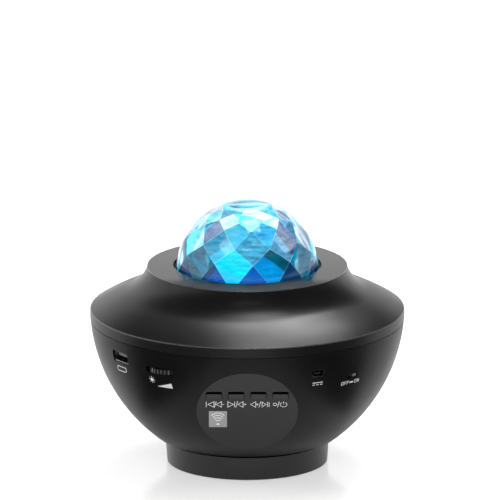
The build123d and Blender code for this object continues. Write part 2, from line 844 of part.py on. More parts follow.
# Dome: smooth outside, a crown of flat kites inside, and a flange under the collar
with BuildPart() as dome:
    with BuildSketch(Plane.XZ):
        with BuildLine():
            Line((0, dome_base_z), (dome_flange_radius, dome_base_z))
            Line((dome_flange_radius, dome_base_z), (dome_flange_radius, collar_under_z))
            Line((dome_flange_radius, collar_under_z), (dome_radius, collar_under_z))
            Line((dome_radius, collar_under_z), (dome_radius, dome_z))
            Line((dome_radius, dome_z), (0, dome_z))
            Line((0, dome_z), (0, dome_base_z))
        make_face()
    revolve(axis=Axis.Z)
    with Locations((0, 0, dome_z)):
        Sphere(dome_radius, arc_size1=0, align=on_base)
    facet_points = []
    for ring, (ring_radius, ring_z) in enumerate(facet_rings):
        for i in range(facet_count):
            x, y = azimuth_point(ring_radius, facet_turn + facet_step * (i + (ring + 1) % 2 / 2))
            facet_points.append((x, y, dome_z + ring_z))
            if ring == 0:
                facet_points.append((x, y, dome_z + ring_z - overrun))
    ConvexPolyhedron(facet_points, mode=Mode.SUBTRACT)
dome.part.label = "dome"
export_step(dome.part, "parts/dome.step")

# Ring that holds the dome's flange up against the collar
with BuildPart() as dome_retainer:
    with BuildSketch(Plane.XY.offset(retainer_z)):
        Circle(retainer_screw_ring + retainer_boss_radius)
        Circle(retainer_inner_radius, mode=Mode.SUBTRACT)
        with Locations(*retainer_points):
            Circle(small_screw_radius + seat_gap, mode=Mode.SUBTRACT)
    extrude(amount=retainer_thickness)
dome_retainer.part.label = "dome_retainer"
export_step(dome_retainer.part, "parts/dome_retainer.step")

retainer_screw = screw_solid(retainer_thickness + collar_z - dome_base_z - wall - screw_tip_gap, small=True)
with BuildPart() as retainer_screws:
    with Locations(*[(x, y, retainer_z) for x, y in retainer_points]):
        add(retainer_screw)
retainer_screws.part.label = "retainer_screws"
export_step(retainer_screws.part, "parts/retainer_screws.step")

# Optical deck: a plate with the light well, the laser tube and the screw bosses
with BuildPart() as optical_deck:
    ledge_z = deck_z + led_board_thickness + led_height + led_lens_radius + ledge_rise
    ledge_top_z = ledge_z + ledge_thickness
    with BuildSketch(Plane.XY.offset(deck_z)):
        Circle(deck_radius)
    extrude(amount=deck_thickness)
    with BuildSketch(Plane.XY.offset(deck_z)):
        Circle(well_outer_radius)
        with Locations(laser_point):
            Circle(laser_tube_radius)
    extrude(amount=well_top_z - deck_z)
    with BuildSketch(Plane.XY.offset(laser_tube_top_z)):
        with Locations(laser_point):
            Circle(laser_tube_radius)
    extrude(amount=well_top_z - laser_tube_top_z + overrun, mode=Mode.SUBTRACT)
    with BuildSketch(Plane.XY.offset(deck_z)):
        with Locations(laser_point):
            Circle(laser_socket_radius)
    extrude(amount=-laser_socket_depth)
    with BuildSketch(Plane.XY.offset(deck_z)):
        with Locations(*tower_points):
            Circle(tower_radius)
    extrude(amount=-case_boss_height)
    # Bores
    with BuildSketch(Plane.XY.offset(deck_z - overrun)):
        Circle(well_radius)
    extrude(amount=ledge_z - deck_z + overrun, mode=Mode.SUBTRACT)
    with BuildSketch(Plane.XY.offset(ledge_top_z)):
        Circle(well_radius)
    extrude(amount=well_top_z - ledge_top_z + overrun, mode=Mode.SUBTRACT)
    with BuildSketch(Plane.XY.offset(deck_z)):
        Circle(well_radius - well_ledge)
    extrude(amount=well_top_z - deck_z, mode=Mode.SUBTRACT)
    with BuildSketch(Plane.XY.offset(deck_z - laser_socket_depth - overrun)):
        with Locations(laser_point):
            Circle(laser_radius + seat_gap)
    extrude(amount=laser_socket_depth + well_top_z - deck_z + 2 * overrun, mode=Mode.SUBTRACT)
    with BuildSketch(Plane.XY.offset(tower_top_z)):
        with Locations(*tower_points):
            Circle(screw_radius + thread_gap)
    extrude(amount=case_boss_height + deck_thickness, mode=Mode.SUBTRACT)
    with BuildSketch(Plane.XY.offset(deck_z)):
        with Locations(*deck_boss_points):
            Circle(screw_radius + seat_gap)
        with Locations(motor_point):
            Circle(shaft_radius + running_gap)
            with Locations((0, motor_screw_spread), (0, -motor_screw_spread)):
                Circle(small_screw_radius + seat_gap)
        with GridLocations(2 * sink_screw_x, 2 * sink_screw_y, 2, 2):
            Circle(small_screw_radius + thread_gap)
    extrude(amount=deck_thickness, mode=Mode.SUBTRACT)
    with BuildSketch(Plane.XY.offset(motor_seat_z)):
        with Locations(motor_point):
            with Locations((0, motor_screw_spread), (0, -motor_screw_spread)):
                Circle(small_screw_head_radius + running_gap)
    extrude(amount=small_screw_head_height + overrun, mode=Mode.SUBTRACT)
    set_screw_plane = Plane(
        (laser_point[0], laser_point[1], deck_z - set_screw_drop),
        x_dir=(0, 0, 1),
        z_dir=direction_point(1, laser_direction) + (0,),
    )
    with BuildSketch(set_screw_plane):
        Circle(set_screw_radius + thread_gap)
    extrude(amount=laser_socket_radius + overrun, mode=Mode.SUBTRACT)
optical_deck.part.label = "optical_deck"
export_step(optical_deck.part, "parts/optical_deck.step")

deck_screw = screw_solid(deck_thickness + floor_boss_height - wall - screw_tip_gap)
with BuildPart() as deck_screws:
    with Locations(*[(x, y, deck_z) for x, y in deck_boss_points]):
        add(deck_screw)
deck_screws.part.label = "deck_screws"
export_step(deck_screws.part, "parts/deck_screws.step")

# Heat sink: an extruded profile with straight fins, screwed up under the deck
with BuildPart() as heat_sink:
    with BuildSketch(Plane.XY.offset(deck_z)):
        Rectangle(sink_width, sink_length)
    extrude(amount=-sink_base)
    with BuildSketch(Plane.XY.offset(deck_z - sink_base)):
        with GridLocations(sink_pitch, 0, sink_fins, 1):
            Rectangle(sink_fin_thickness, sink_length)
    extrude(amount=-sink_fin_height)
    with BuildSketch(Plane.XY.offset(deck_z)):
        with GridLocations(2 * sink_screw_x, 2 * sink_screw_y, 2, 2):
            Circle(small_screw_radius + seat_gap)
    extrude(amount=-sink_base, mode=Mode.SUBTRACT)
heat_sink.part.label = "heat_sink"
export_step(heat_sink.part, "parts/heat_sink.step")

sink_screw = screw_solid(sink_base + deck_thickness - screw_tip_gap, small=True)
with BuildPart() as heat_sink_screws:
    with Locations((0, 0, deck_z - sink_base)):
        with GridLocations(2 * sink_screw_x, 2 * sink_screw_y, 2, 2):
            add(sink_screw)
heat_sink_screws.part.label = "heat_sink_screws"
export_step(heat_sink_screws.part, "parts/heat_sink_screws.step")

# LED board and its lamps, at the bottom of the well
with BuildPart() as led_board:
    with BuildSketch(Plane.XY.offset(deck_z)):
        Circle(led_board_radius)
    extrude(amount=led_board_thickness)
led_board.part.label = "led_board"
export_step(led_board.part, "parts/led_board.step")

with BuildPart() as led_emitters:
    lamp_z = deck_z + led_board_thickness
    with BuildSketch(Plane.XY.offset(lamp_z)):
        with PolarLocations(led_ring, led_count):
            Rectangle(led_width, led_width)
    extrude(amount=led_height)
    with PolarLocations(led_ring, led_count):
        with Locations((0, 0, lamp_z + led_height)):
            Sphere(led_lens_radius, arc_size1=0, align=on_base)
led_emitters.part.label = "led_emitters"
export_step(led_emitters.part, "parts/led_emitters.step")

# Condenser lens on the ledge of the well
with BuildPart() as condenser_lens:
    flange_radius = well_radius - seat_gap
    crown_radius = well_radius - keeper_lip - keeper_wall
    flange_z = ledge_top_z + condenser_flange
    with BuildSketch(Plane.XZ):
        with BuildLine():
            Polyline((0, ledge_top_z), (flange_radius, ledge_top_z), (flange_radius, flange_z))
            Line((flange_radius, flange_z), (crown_radius, flange_z))
            crown_arc(crown_radius, flange_z, condenser_crown)
            Line((0, flange_z + condenser_crown), (0, ledge_top_z))
        make_face()
    revolve(axis=Axis.Z)
condenser_lens.part.label = "condenser_lens"
export_step(condenser_lens.part, "parts/condenser_lens.step")

# Keeper ring: presses the lens down and keeps the ripple gear on the well
with BuildPart() as gear_keeper:
    keeper_outer = well_radius - seat_gap
    keeper_inner = keeper_outer - keeper_wall
    keeper_lip_radius = well_outer_radius + keeper_lip
    with BuildSketch(Plane.XZ):
        with BuildLine():
            Polyline(
                (keeper_inner, flange_z),
                (keeper_outer, flange_z),
                (keeper_outer, well_top_z),
                (keeper_lip_radius, well_top_z),
                (keeper_lip_radius, well_top_z + keeper_thickness),
                (keeper_inner, well_top_z + keeper_thickness),
                close=True,
            )
        make_face()
    revolve(axis=Axis.Z)
gear_keeper.part.label = "gear_keeper"
export_step(gear_keeper.part, "parts/gear_keeper.step")

# Ripple gear, which runs round the well, and the ripple lens on it
with BuildPart() as ripple_gear:
    with BuildSketch(Plane.XY.offset(gear_z)):
        with BuildLine():
            Polyline(*gear_points(ripple_teeth, 0), close=True)
        make_face()
        Circle(well_outer_radius + running_gap, mode=Mode.SUBTRACT)
    extrude(amount=gear_thickness)
ripple_gear.part.label = "ripple_gear"
export_step(ripple_gear.part, "parts/ripple_gear.step")

with BuildPart() as ripple_lens:
    lens_outer = gear_module * (ripple_teeth / 2 - dedendum_share) - seat_gap
    lens_inner = lens_outer - lens_wall
    lens_skirt_z = gear_top_z + lens_skirt
    lens_top_z = lens_skirt_z + lens_crown
    with BuildSketch(Plane.XZ):
        with BuildLine():
            Polyline((lens_outer, lens_skirt_z), (lens_outer, gear_top_z), (lens_inner, gear_top_z))
            Line((lens_inner, gear_top_z), (lens_inner, lens_skirt_z))
            crown_arc(lens_inner, lens_skirt_z, lens_crown - lens_wall)
            Line((0, lens_top_z - lens_wall), (0, lens_top_z))
            crown_arc(lens_outer, lens_skirt_z, lens_crown)
        make_face()
    revolve(axis=Axis.Z)
ripple_lens.part.label = "ripple_lens"
export_step(ripple_lens.part, "parts/ripple_lens.step")

# Geared motor, hung under the deck, with its shaft and pinion above
with BuildPart() as motor_gearbox:
    with BuildSketch(Plane.XY.offset(deck_z)):
        with Locations(motor_point):
            Rectangle(motor_depth, motor_width)
    extrude(amount=-gearbox_height)
    with BuildSketch(Plane.XY.offset(deck_z)):
        with Locations(motor_point):
            Circle(shaft_radius + seat_gap)
    extrude(amount=-shaft_socket, mode=Mode.SUBTRACT)
    with BuildSketch(Plane.XY.offset(deck_z)):
        with Locations(motor_point):
            with Locations((0, motor_screw_spread), (0, -motor_screw_spread)):
                Circle(small_screw_radius + thread_gap)
    extrude(amount=-shaft_socket, mode=Mode.SUBTRACT)
motor_gearbox.part.label = "motor_gearbox"
export_step(motor_gearbox.part, "parts/motor_gearbox.step")

with BuildPart() as motor_can:
    with BuildSketch(Plane.XY.offset(deck_z - gearbox_height)):
        with Locations(motor_point):
            Circle(motor_width / 2)
            Rectangle(motor_depth, motor_width, mode=Mode.INTERSECT)
    extrude(amount=-can_height)
    chamfer(motor_can.edges().group_by(Axis.Z)[0], length=can_edge)
motor_can.part.label = "motor_can"
export_step(motor_can.part, "parts/motor_can.step")

with BuildPart() as motor_shaft:
    with BuildSketch(Plane.XY.offset(deck_z - shaft_socket + seat_gap)):
        with Locations(motor_point):
            Circle(shaft_radius)
    extrude(amount=gear_top_z - deck_z + shaft_socket - seat_gap)
motor_shaft.part.label = "motor_shaft"
export_step(motor_shaft.part, "parts/motor_shaft.step")

with BuildPart() as drive_pinion:
    pinion_turn = mesh_turn(motor_direction, ripple_teeth, pinion_teeth)
    with BuildSketch(Plane(motor_point + (gear_z,))):
        with BuildLine():
            Polyline(*gear_points(pinion_teeth, pinion_turn), close=True)
        make_face()
        Circle(shaft_radius + thread_gap, mode=Mode.SUBTRACT)
    extrude(amount=gear_thickness)
drive_pinion.part.label = "drive_pinion"
export_step(drive_pinion.part, "parts/drive_pinion.step")

motor_screw = screw_solid(motor_seat_z - deck_z + shaft_socket - screw_tip_gap, small=True)
with BuildPart() as motor_screws:
    with Locations(motor_point + (motor_seat_z,)):
        with Locations((0, motor_screw_spread, 0), (0, -motor_screw_spread, 0)):
            add(motor_screw, rotation=(180, 0, 0))
motor_screws.part.label = "motor_screws"
export_step(motor_screws.part, "parts/motor_screws.step")

# Laser in its tube, held by a set screw, with a lens in its front end
laser_top_z = laser_tube_top_z - laser_sink
with BuildPart() as laser_barrel:
    with BuildSketch(Plane.XY.offset(laser_top_z)):
        with Locations(laser_point):
            Circle(laser_radius)
    extrude(amount=-laser_length)
    chamfer(laser_barrel.edges().group_by(Axis.Z)[0], length=laser_sink)
    with BuildSketch(Plane.XY.offset(laser_top_z)):
        with Locations(laser_point):
            Circle(laser_lens_radius + thread_gap)
    extrude(amount=-laser_lens_thickness, mode=Mode.SUBTRACT)
laser_barrel.part.label = "laser_barrel"
export_step(laser_barrel.part, "parts/laser_barrel.step")

with BuildPart() as laser_lens:
    with BuildSketch(Plane.XY.offset(laser_top_z - laser_lens_thickness)):
        with Locations(laser_point):
            Circle(laser_lens_radius)
    extrude(amount=laser_lens_thickness)
    chamfer(laser_lens.edges().group_by(Axis.Z)[-1], length=laser_lens_edge)
laser_lens.part.label = "laser_lens"
export_step(laser_lens.part, "parts/laser_lens.step")

with BuildPart() as laser_set_screw:
    with BuildSketch(set_screw_plane.offset(laser_radius + thread_gap)):
        Circle(set_screw_radius)
    extrude(amount=laser_socket_wall + overrun)
laser_set_screw.part.label = "laser_set_screw"
export_step(laser_set_screw.part, "parts/laser_set_screw.step")

# Grating gear, which runs on the laser tube, with the film that splits the beam
with BuildPart() as grating_gear:
    grating_turn = mesh_turn(laser_direction, ripple_teeth, grating_teeth)
    with BuildSketch(Plane(laser_point + (gear_z,))):
        with BuildLine():
            Polyline(*gear_points(grating_teeth, grating_turn), close=True)
        make_face()
        Circle(laser_tube_radius + running_gap, mode=Mode.SUBTRACT)
    extrude(amount=gear_thickness)
grating_gear.part.label = "grating_gear"
export_step(grating_gear.part, "parts/grating_gear.step")

with BuildPart() as grating_film:
    with BuildSketch(Plane.XY.offset(gear_top_z)):
        with Locations(laser_point):
            Circle(laser_tube_radius + running_gap + film_margin)
    extrude(amount=film_thickness)
grating_film.part.label = "grating_film"
export_step(grating_film.part, "parts/grating_film.step")

# Main board: a ring with a straight front edge
with BuildPart() as main_board:
    with BuildSketch(Plane.XY.offset(board_z)):
        Circle(board_radius)
        Circle(board_opening_radius, mode=Mode.SUBTRACT)
        with Locations((0, -board_front)):
            Rectangle(2 * board_radius, board_radius, align=(Align.CENTER, Align.MAX), mode=Mode.SUBTRACT)
        with Locations(*board_points):
            Circle(small_screw_radius + seat_gap, mode=Mode.SUBTRACT)
    extrude(amount=board_thickness)
main_board.part.label = "main_board"
export_step(main_board.part, "parts/main_board.step")

board_screw = screw_solid(board_thickness + floor_boss_height - screw_tip_gap, small=True)
with BuildPart() as board_screws:
    with Locations(*[(x, y, board_top_z) for x, y in board_points]):
        add(board_screw, rotation=(180, 0, 0))
board_screws.part.label = "board_screws"
export_step(board_screws.part, "parts/board_screws.step")

with BuildPart() as board_chips:
    for (length, width, height), azimuth in zip(chip_sizes, chip_azimuths):
        with Locations(azimuth_point(chip_ring, azimuth) + (board_top_z,)):
            Box(length, width, height, align=on_base)
    chamfer(board_chips.edges().group_by(Axis.Z)[-1], length=seat_gap)
board_chips.part.label = "board_chips"
export_step(board_chips.part, "parts/board_chips.step")

with BuildPart() as capacitors:
    with BuildSketch(Plane.XY.offset(board_top_z)):
        with Locations(*[azimuth_point(capacitor_ring, azimuth) for azimuth in capacitor_azimuths]):
            Circle(capacitor_radius)
    extrude(amount=capacitor_height)
    fillet(capacitors.edges().group_by(Axis.Z)[-1], radius=capacitor_edge)
capacitors.part.label = "capacitors"
export_step(capacitors.part, "parts/capacitors.step")

with BuildPart() as wire_headers:
    header_length, header_width, header_height = header_size
    for azimuth in header_azimuths:
        header_plane = azimuth_plane(azimuth, board_top_z)
        header_point = azimuth_point(header_ring, azimuth)
        with BuildSketch(Plane(header_point + (board_top_z,), x_dir=header_plane.x_dir, z_dir=(0, 0, 1))):
            Rectangle(header_length, header_width)
        extrude(amount=header_height)
        with BuildSketch(
            Plane(header_point + (board_top_z + header_wall,), x_dir=header_plane.x_dir, z_dir=(0, 0, 1))
        ):
            Rectangle(header_length - 2 * header_wall, header_width - 2 * header_wall)
        extrude(amount=header_height, mode=Mode.SUBTRACT)
wire_headers.part.label = "wire_headers"
export_step(wire_headers.part, "parts/wire_headers.step")

# Buttons: a pad low in the slot, a sunk step above it, a flange and a stem behind the wall
button_names = ("previous_button", "next_button", "mute_button", "mode_button")
for button_name, button_x in zip(button_names, button_xs):
    with BuildPart() as button:
        key_width = button_width - 2 * button_gap
        key_height = button_height - 2 * button_gap
        pad_middle = button_rise - key_height / 2 + button_pad_height / 2
        with BuildSketch(panel_plane.offset(-stem_face)):
            with Locations((button_x, button_rise)):
                RectangleRounded(
                    button_width + 2 * button_lip, button_height + 2 * button_lip, button_corner + button_lip
                )
        extrude(amount=button_flange)
        with BuildSketch(panel_plane.offset(-flange_face)):
            with Locations((button_x, button_rise)):
                RectangleRounded(key_width, key_height, button_corner - button_gap)
        extrude(amount=flange_face - button_step)
        with BuildSketch(panel_plane.offset(-flange_face)):
            with Locations((button_x, pad_middle)):
                RectangleRounded(key_width, button_pad_height, button_corner - button_gap)
        extrude(amount=flange_face + button_pad_proud)
        with BuildSketch(panel_plane.offset(-stem_face)):
            with Locations((button_x, button_rise)):
                Circle(button_stem_radius)
        extrude(amount=-button_stem_length)
    button.part.label = button_name
    export_step(button.part, "parts/" + button_name + ".step")

with BuildPart() as tact_switches:
    with BuildSketch(panel_plane.offset(-button_board_face)):
        with Locations(*[(x, button_rise) for x in button_xs]):
            Rectangle(tact_width, tact_width)
    extrude(amount=tact_height)
    with BuildSketch(panel_plane.offset(-tact_face)):
        with Locations(*[(x, button_rise) for x in button_xs]):
            Circle(button_stem_radius + running_gap)
    extrude(amount=-tact_well_depth, mode=Mode.SUBTRACT)
tact_switches.part.label = "tact_switches"
export_step(tact_switches.part, "parts/tact_switches.step")

with BuildPart() as button_board:
    with BuildSketch(panel_plane.offset(-button_board_back)):
        with Locations((0, button_board_middle)):
            Rectangle(button_board_width, button_board_height)
        with Locations(*board_boss_points):
            Circle(small_screw_radius + seat_gap, mode=Mode.SUBTRACT)
    extrude(amount=board_thickness)
button_board.part.label = "button_board"
export_step(button_board.part, "parts/button_board.step")

button_board_screw = screw_solid(board_thickness + board_screw_bite, small=True)
with BuildPart() as button_board_screws:
    screw_plane = panel_plane.offset(-button_board_back)
    for x, y in board_boss_points:
        with Locations(screw_plane.location * Location((x, y, 0))):
            add(button_board_screw)
button_board_screws.part.label = "button_board_screws"
export_step(button_board_screws.part, "parts/button_board_screws.step")

# Remote receiver on the button board, its lens to the panel
with BuildPart() as remote_receiver:
    with BuildSketch(panel_plane.offset(-button_board_face)):
        with Locations((-receiver_shift, button_rise - receiver_drop)):
            Rectangle(receiver_width, receiver_height)
    extrude(amount=receiver_depth - receiver_lens_radius)
    with Locations(panel_plane.offset(receiver_depth - receiver_lens_radius - button_board_face).location):
        with Locations((-receiver_shift, button_rise - receiver_drop)):
            Sphere(receiver_lens_radius, arc_size1=0, align=on_base)
remote_receiver.part.label = "remote_receiver"
export_step(remote_receiver.part, "parts/remote_receiver.step")

# USB socket: a folded shell, and the insulator with its tongue
with BuildPart() as usb_shell:
    with BuildSketch(usb_plane.offset(usb_front)):
        RectangleRounded(usb_width, usb_height, usb_corner)
        offset(amount=-usb_sheet, kind=Kind.INTERSECTION, mode=Mode.SUBTRACT)
    extrude(amount=-usb_length)
usb_shell.part.label = "usb_shell"
export_step(usb_shell.part, "parts/usb_shell.step")

with BuildPart() as usb_insulator:
    usb_back_r = usb_front - usb_length
    inner_width = usb_width - 2 * usb_sheet - 2 * seat_gap
    inner_height = usb_height - 2 * usb_sheet - 2 * seat_gap
    with BuildSketch(usb_plane.offset(usb_back_r)):
        Rectangle(inner_width, inner_height)
    extrude(amount=usb_back)
    with BuildSketch(usb_plane.offset(usb_back_r)):
        Rectangle(usb_width, usb_height)
        with Locations((0, -usb_height / 2)):
            Rectangle(usb_width, usb_lift, align=(Align.CENTER, Align.MAX))
    extrude(amount=-usb_back)
    with BuildSketch(usb_plane.offset(usb_back_r)):
        with Locations((0, -usb_height / 2 - seat_gap)):
            Rectangle(usb_width, usb_lift - seat_gap, align=(Align.CENTER, Align.MAX))
    extrude(amount=board_radius - usb_back_r)
    with BuildSketch(usb_plane.offset(usb_back_r)):
        with Locations((0, usb_tongue_thickness / 2)):
            Rectangle(usb_tongue_width, usb_tongue_thickness)
    extrude(amount=usb_length - usb_tongue_recess)
usb_insulator.part.label = "usb_insulator"
export_step(usb_insulator.part, "parts/usb_insulator.step")

# DC socket: a small shell, wide at the top and narrow at the bottom
with BuildPart() as dc_shell:
    with BuildSketch(dc_plane.offset(dc_front)):
        with BuildLine():
            Polyline(*dc_outline, close=True)
        make_face()
        offset(amount=-dc_sheet, kind=Kind.INTERSECTION, mode=Mode.SUBTRACT)
    extrude(amount=-dc_length)
dc_shell.part.label = "dc_shell"
export_step(dc_shell.part, "parts/dc_shell.step")

with BuildPart() as dc_insulator:
    dc_back_r = dc_front - dc_length
    with BuildSketch(dc_plane.offset(dc_back_r)):
        with BuildLine():
            Polyline(*dc_outline, close=True)
        make_face()
    extrude(amount=-dc_back)
    with BuildSketch(dc_plane.offset(dc_back_r)):
        Rectangle(dc_tongue_width, dc_tongue_thickness)
    extrude(amount=dc_length - dc_tongue_recess)
dc_insulator.part.label = "dc_insulator"
export_step(dc_insulator.part, "parts/dc_insulator.step")

# Brightness wheel, ribbed, on the spindle of its potentiometer
with BuildPart() as brightness_dial:
    with BuildSketch(Plane.XY.offset(dial_z)):
        with Locations(dial_point):
            Circle(dial_radius)
            with PolarLocations(dial_radius, dial_ridges):
                Circle(dial_groove_radius, mode=Mode.SUBTRACT)
    extrude(amount=dial_thickness)
    with BuildSketch(Plane.XY.offset(dial_z)):
        with Locations(dial_point):
            Circle(pot_spindle_radius + thread_gap)
    extrude(amount=dial_thickness - dial_cap, mode=Mode.SUBTRACT)
brightness_dial.part.label = "brightness_dial"
export_step(brightness_dial.part, "parts/brightness_dial.step")

with BuildPart() as dial_potentiometer:
    with BuildSketch(Plane.XY.offset(board_top_z)):
        with Locations(dial_point):
            Circle(pot_radius)
    extrude(amount=pot_height)
    with BuildSketch(Plane.XY.offset(board_top_z)):
        with Locations(dial_point):
            Circle(pot_spindle_radius)
    extrude(amount=pot_height + dial_thickness - dial_cap - seat_gap)
dial_potentiometer.part.label = "dial_potentiometer"
export_step(dial_potentiometer.part, "parts/dial_potentiometer.step")

# Slide switch under the board, and the knob that reaches through the wall
with BuildPart() as switch_body:
    with BuildSketch(switch_plane.offset(switch_face)):
        Rectangle(switch_width, switch_height)
    extrude(amount=-switch_depth)
switch_body.part.label = "switch_body"
export_step(switch_body.part, "parts/switch_body.step")

with BuildPart() as power_switch:
    with BuildSketch(switch_plane.offset(switch_face + seat_gap)):
        with Locations((switch_throw / 2, 0)):
            Rectangle(knob_foot_width, switch_height - 2 * seat_gap)
    extrude(amount=knob_foot_thickness)
    with BuildSketch(switch_plane.offset(switch_face + seat_gap)):
        with Locations((switch_throw / 2, 0)):
            Rectangle(knob_width, knob_height)
    extrude(amount=knob_tip - switch_face - seat_gap)
power_switch.part.label = "power_switch"
export_step(power_switch.part, "parts/power_switch.step")

# Speaker on the floor of the bowl, facing down into the foot
gasket_top_z = bowl_floor_z + gasket_thickness
basket_z = gasket_top_z + speaker_flange
plate_z = basket_z + basket_height
magnet_z = plate_z + plate_thickness
with BuildPart() as speaker_gasket:
    with BuildSketch(Plane.XY.offset(bowl_floor_z)):
        Circle(speaker_radius)
        with Locations(*speaker_points):
            Circle(speaker_ear_radius)
        Circle(speaker_mouth_radius, mode=Mode.SUBTRACT)
        with Locations(*speaker_points):
            Circle(small_screw_radius + seat_gap, mode=Mode.SUBTRACT)
    extrude(amount=gasket_thickness)
speaker_gasket.part.label = "speaker_gasket"
export_step(speaker_gasket.part, "parts/speaker_gasket.step")

with BuildPart() as speaker_basket:
    frame_radius = speaker_mouth_radius + basket_sheet
    with BuildSketch(Plane.XY.offset(gasket_top_z)):
        Circle(speaker_radius)
        with Locations(*speaker_points):
            Circle(speaker_ear_radius)
        Circle(speaker_mouth_radius, mode=Mode.SUBTRACT)
        with Locations(*speaker_points):
            Circle(small_screw_radius + seat_gap, mode=Mode.SUBTRACT)
    extrude(amount=speaker_flange)
    with BuildSketch(Plane.XZ):
        with BuildLine():
            Polyline(
                (speaker_mouth_radius, gasket_top_z),
                (frame_radius, gasket_top_z),
                (frame_radius, basket_z),
                (basket_top_radius + basket_sheet, magnet_z),
                (coil_radius + coil_gap, magnet_z),
                (coil_radius + coil_gap, plate_z),
                (basket_top_radius, plate_z),
                (speaker_mouth_radius, basket_z),
                close=True,
            )
        make_face()
    revolve(axis=Axis.Z)
    # Windows in its cone
    window_inner = basket_top_radius + basket_sheet
    with BuildSketch(Plane.XY.offset(basket_z + basket_window_margin)):
        with PolarLocations((window_inner + speaker_radius) / 2, basket_windows):
            Rectangle(speaker_radius - window_inner, basket_window_width)
    extrude(amount=basket_height - 2 * basket_window_margin, mode=Mode.SUBTRACT)
speaker_basket.part.label = "speaker_basket"
export_step(speaker_basket.part, "parts/speaker_basket.step")

with BuildPart() as speaker_magnet:
    groove_top_z = magnet_z + magnet_height - plate_thickness
    coil_inner = coil_radius - coil_wall - coil_gap
    with BuildSketch(Plane.XY.offset(magnet_z)):
        Circle(magnet_radius)
    extrude(amount=magnet_height)
    with BuildSketch(Plane.XY.offset(magnet_z)):
        Circle(coil_radius + coil_gap)
        Circle(coil_inner, mode=Mode.SUBTRACT)
    extrude(amount=groove_top_z - magnet_z, mode=Mode.SUBTRACT)
    chamfer(speaker_magnet.edges().group_by(Axis.Z)[-1], length=coil_gap)
speaker_magnet.part.label = "speaker_magnet"
export_step(speaker_magnet.part, "parts/speaker_magnet.step")

cone_z = gasket_top_z + cone_lift
with BuildPart() as speaker_cone:
    coil_z = cone_z + cone_rise
    coil_top_z = magnet_z + coil_reach
    coil_face = coil_radius - coil_wall
    with BuildSketch(Plane.XZ):
        with BuildLine():
            Polyline(
                (coil_face, coil_z - cone_sheet),
                (cone_radius, cone_z),
                (cone_radius, cone_z + cone_sheet),
                (coil_radius, coil_z + cone_sheet),
                (coil_radius, coil_top_z),
                (coil_face, coil_top_z),
                (coil_face, coil_z),
            )
            crown_arc(coil_face, coil_z, -dust_cap_rise)
            Line((0, coil_z - dust_cap_rise), (0, coil_z - cone_sheet - dust_cap_rise))
            crown_arc(coil_face, coil_z - cone_sheet, -dust_cap_rise)
        make_face()
    revolve(axis=Axis.Z)
speaker_cone.part.label = "speaker_cone"
export_step(speaker_cone.part, "parts/speaker_cone.step")

with BuildPart() as speaker_surround:
    surround_inner = cone_radius + thread_gap
    surround_outer = speaker_mouth_radius - thread_gap
    surround_middle = (surround_inner + surround_outer) / 2
    roll_top_z = cone_z + cone_sheet + surround_rise
    with BuildSketch(Plane.XZ):
        with BuildLine():
            Line((surround_inner, cone_z), (surround_inner, cone_z + cone_sheet))
            ThreePointArc(
                (surround_inner, cone_z + cone_sheet),
                (surround_middle, roll_top_z),
                (surround_outer, cone_z + cone_sheet),
            )
            Line((surround_outer, cone_z + cone_sheet), (surround_outer, cone_z))
            ThreePointArc(
                (surround_outer, cone_z),
                (surround_middle, roll_top_z - cone_sheet),
                (surround_inner, cone_z),
            )
        make_face()
    revolve(axis=Axis.Z)
speaker_surround.part.label = "speaker_surround"
export_step(speaker_surround.part, "parts/speaker_surround.step")

speaker_screw = screw_solid(speaker_flange + gasket_thickness + wall - screw_tip_gap, small=True)
with BuildPart() as speaker_screws:
    with Locations(*[(x, y, basket_z) for x, y in speaker_points]):
        add(speaker_screw, rotation=(180, 0, 0))
speaker_screws.part.label = "speaker_screws"
export_step(speaker_screws.part, "parts/speaker_screws.step")
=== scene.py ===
# %% [markdown]
# # A dome light projector
# The projector is a black moulded bowl on a round foot. A flared cover closes it, and a clear
# dome stands in the collar of the cover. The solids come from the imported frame, at their real
# size and in their real place. This lesson dresses them: it gives each one the finish of the
# real piece, adds the printed signs, and sets the light and the camera.

# %% Load the frame
import bpy
import json
import random
from math import cos, hypot, radians, sin
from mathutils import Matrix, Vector


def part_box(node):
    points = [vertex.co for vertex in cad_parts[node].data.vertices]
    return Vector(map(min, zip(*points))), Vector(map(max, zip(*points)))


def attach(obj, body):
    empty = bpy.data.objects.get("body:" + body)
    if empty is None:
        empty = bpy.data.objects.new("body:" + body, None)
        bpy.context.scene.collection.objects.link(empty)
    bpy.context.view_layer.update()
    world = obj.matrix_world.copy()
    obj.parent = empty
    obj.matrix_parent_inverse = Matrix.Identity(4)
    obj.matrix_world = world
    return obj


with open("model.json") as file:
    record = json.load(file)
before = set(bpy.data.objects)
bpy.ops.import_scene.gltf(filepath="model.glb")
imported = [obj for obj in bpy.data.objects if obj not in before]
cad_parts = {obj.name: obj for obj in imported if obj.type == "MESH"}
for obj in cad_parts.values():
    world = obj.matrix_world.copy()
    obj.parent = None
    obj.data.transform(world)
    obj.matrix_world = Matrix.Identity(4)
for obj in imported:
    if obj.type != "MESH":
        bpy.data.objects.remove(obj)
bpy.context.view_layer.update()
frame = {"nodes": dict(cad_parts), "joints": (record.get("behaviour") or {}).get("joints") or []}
nodes = frame["nodes"]
mm = 0.001

# %% [markdown]
# ## Camera
# The picture was taken with a long lens from a little above, square to the control panel. A long
# lens keeps the round rims as plain ellipses, so the camera stands far off and looks down by a
# small angle. The lens follows from how much of the object the picture holds from side to side.

# %% Place the camera
camera_fall = radians(15.0)
camera_distance = 11.0
camera_target = Vector((0.00144, 0.0, 0.116))
view_width = 0.26685
sensor_width = 36.0

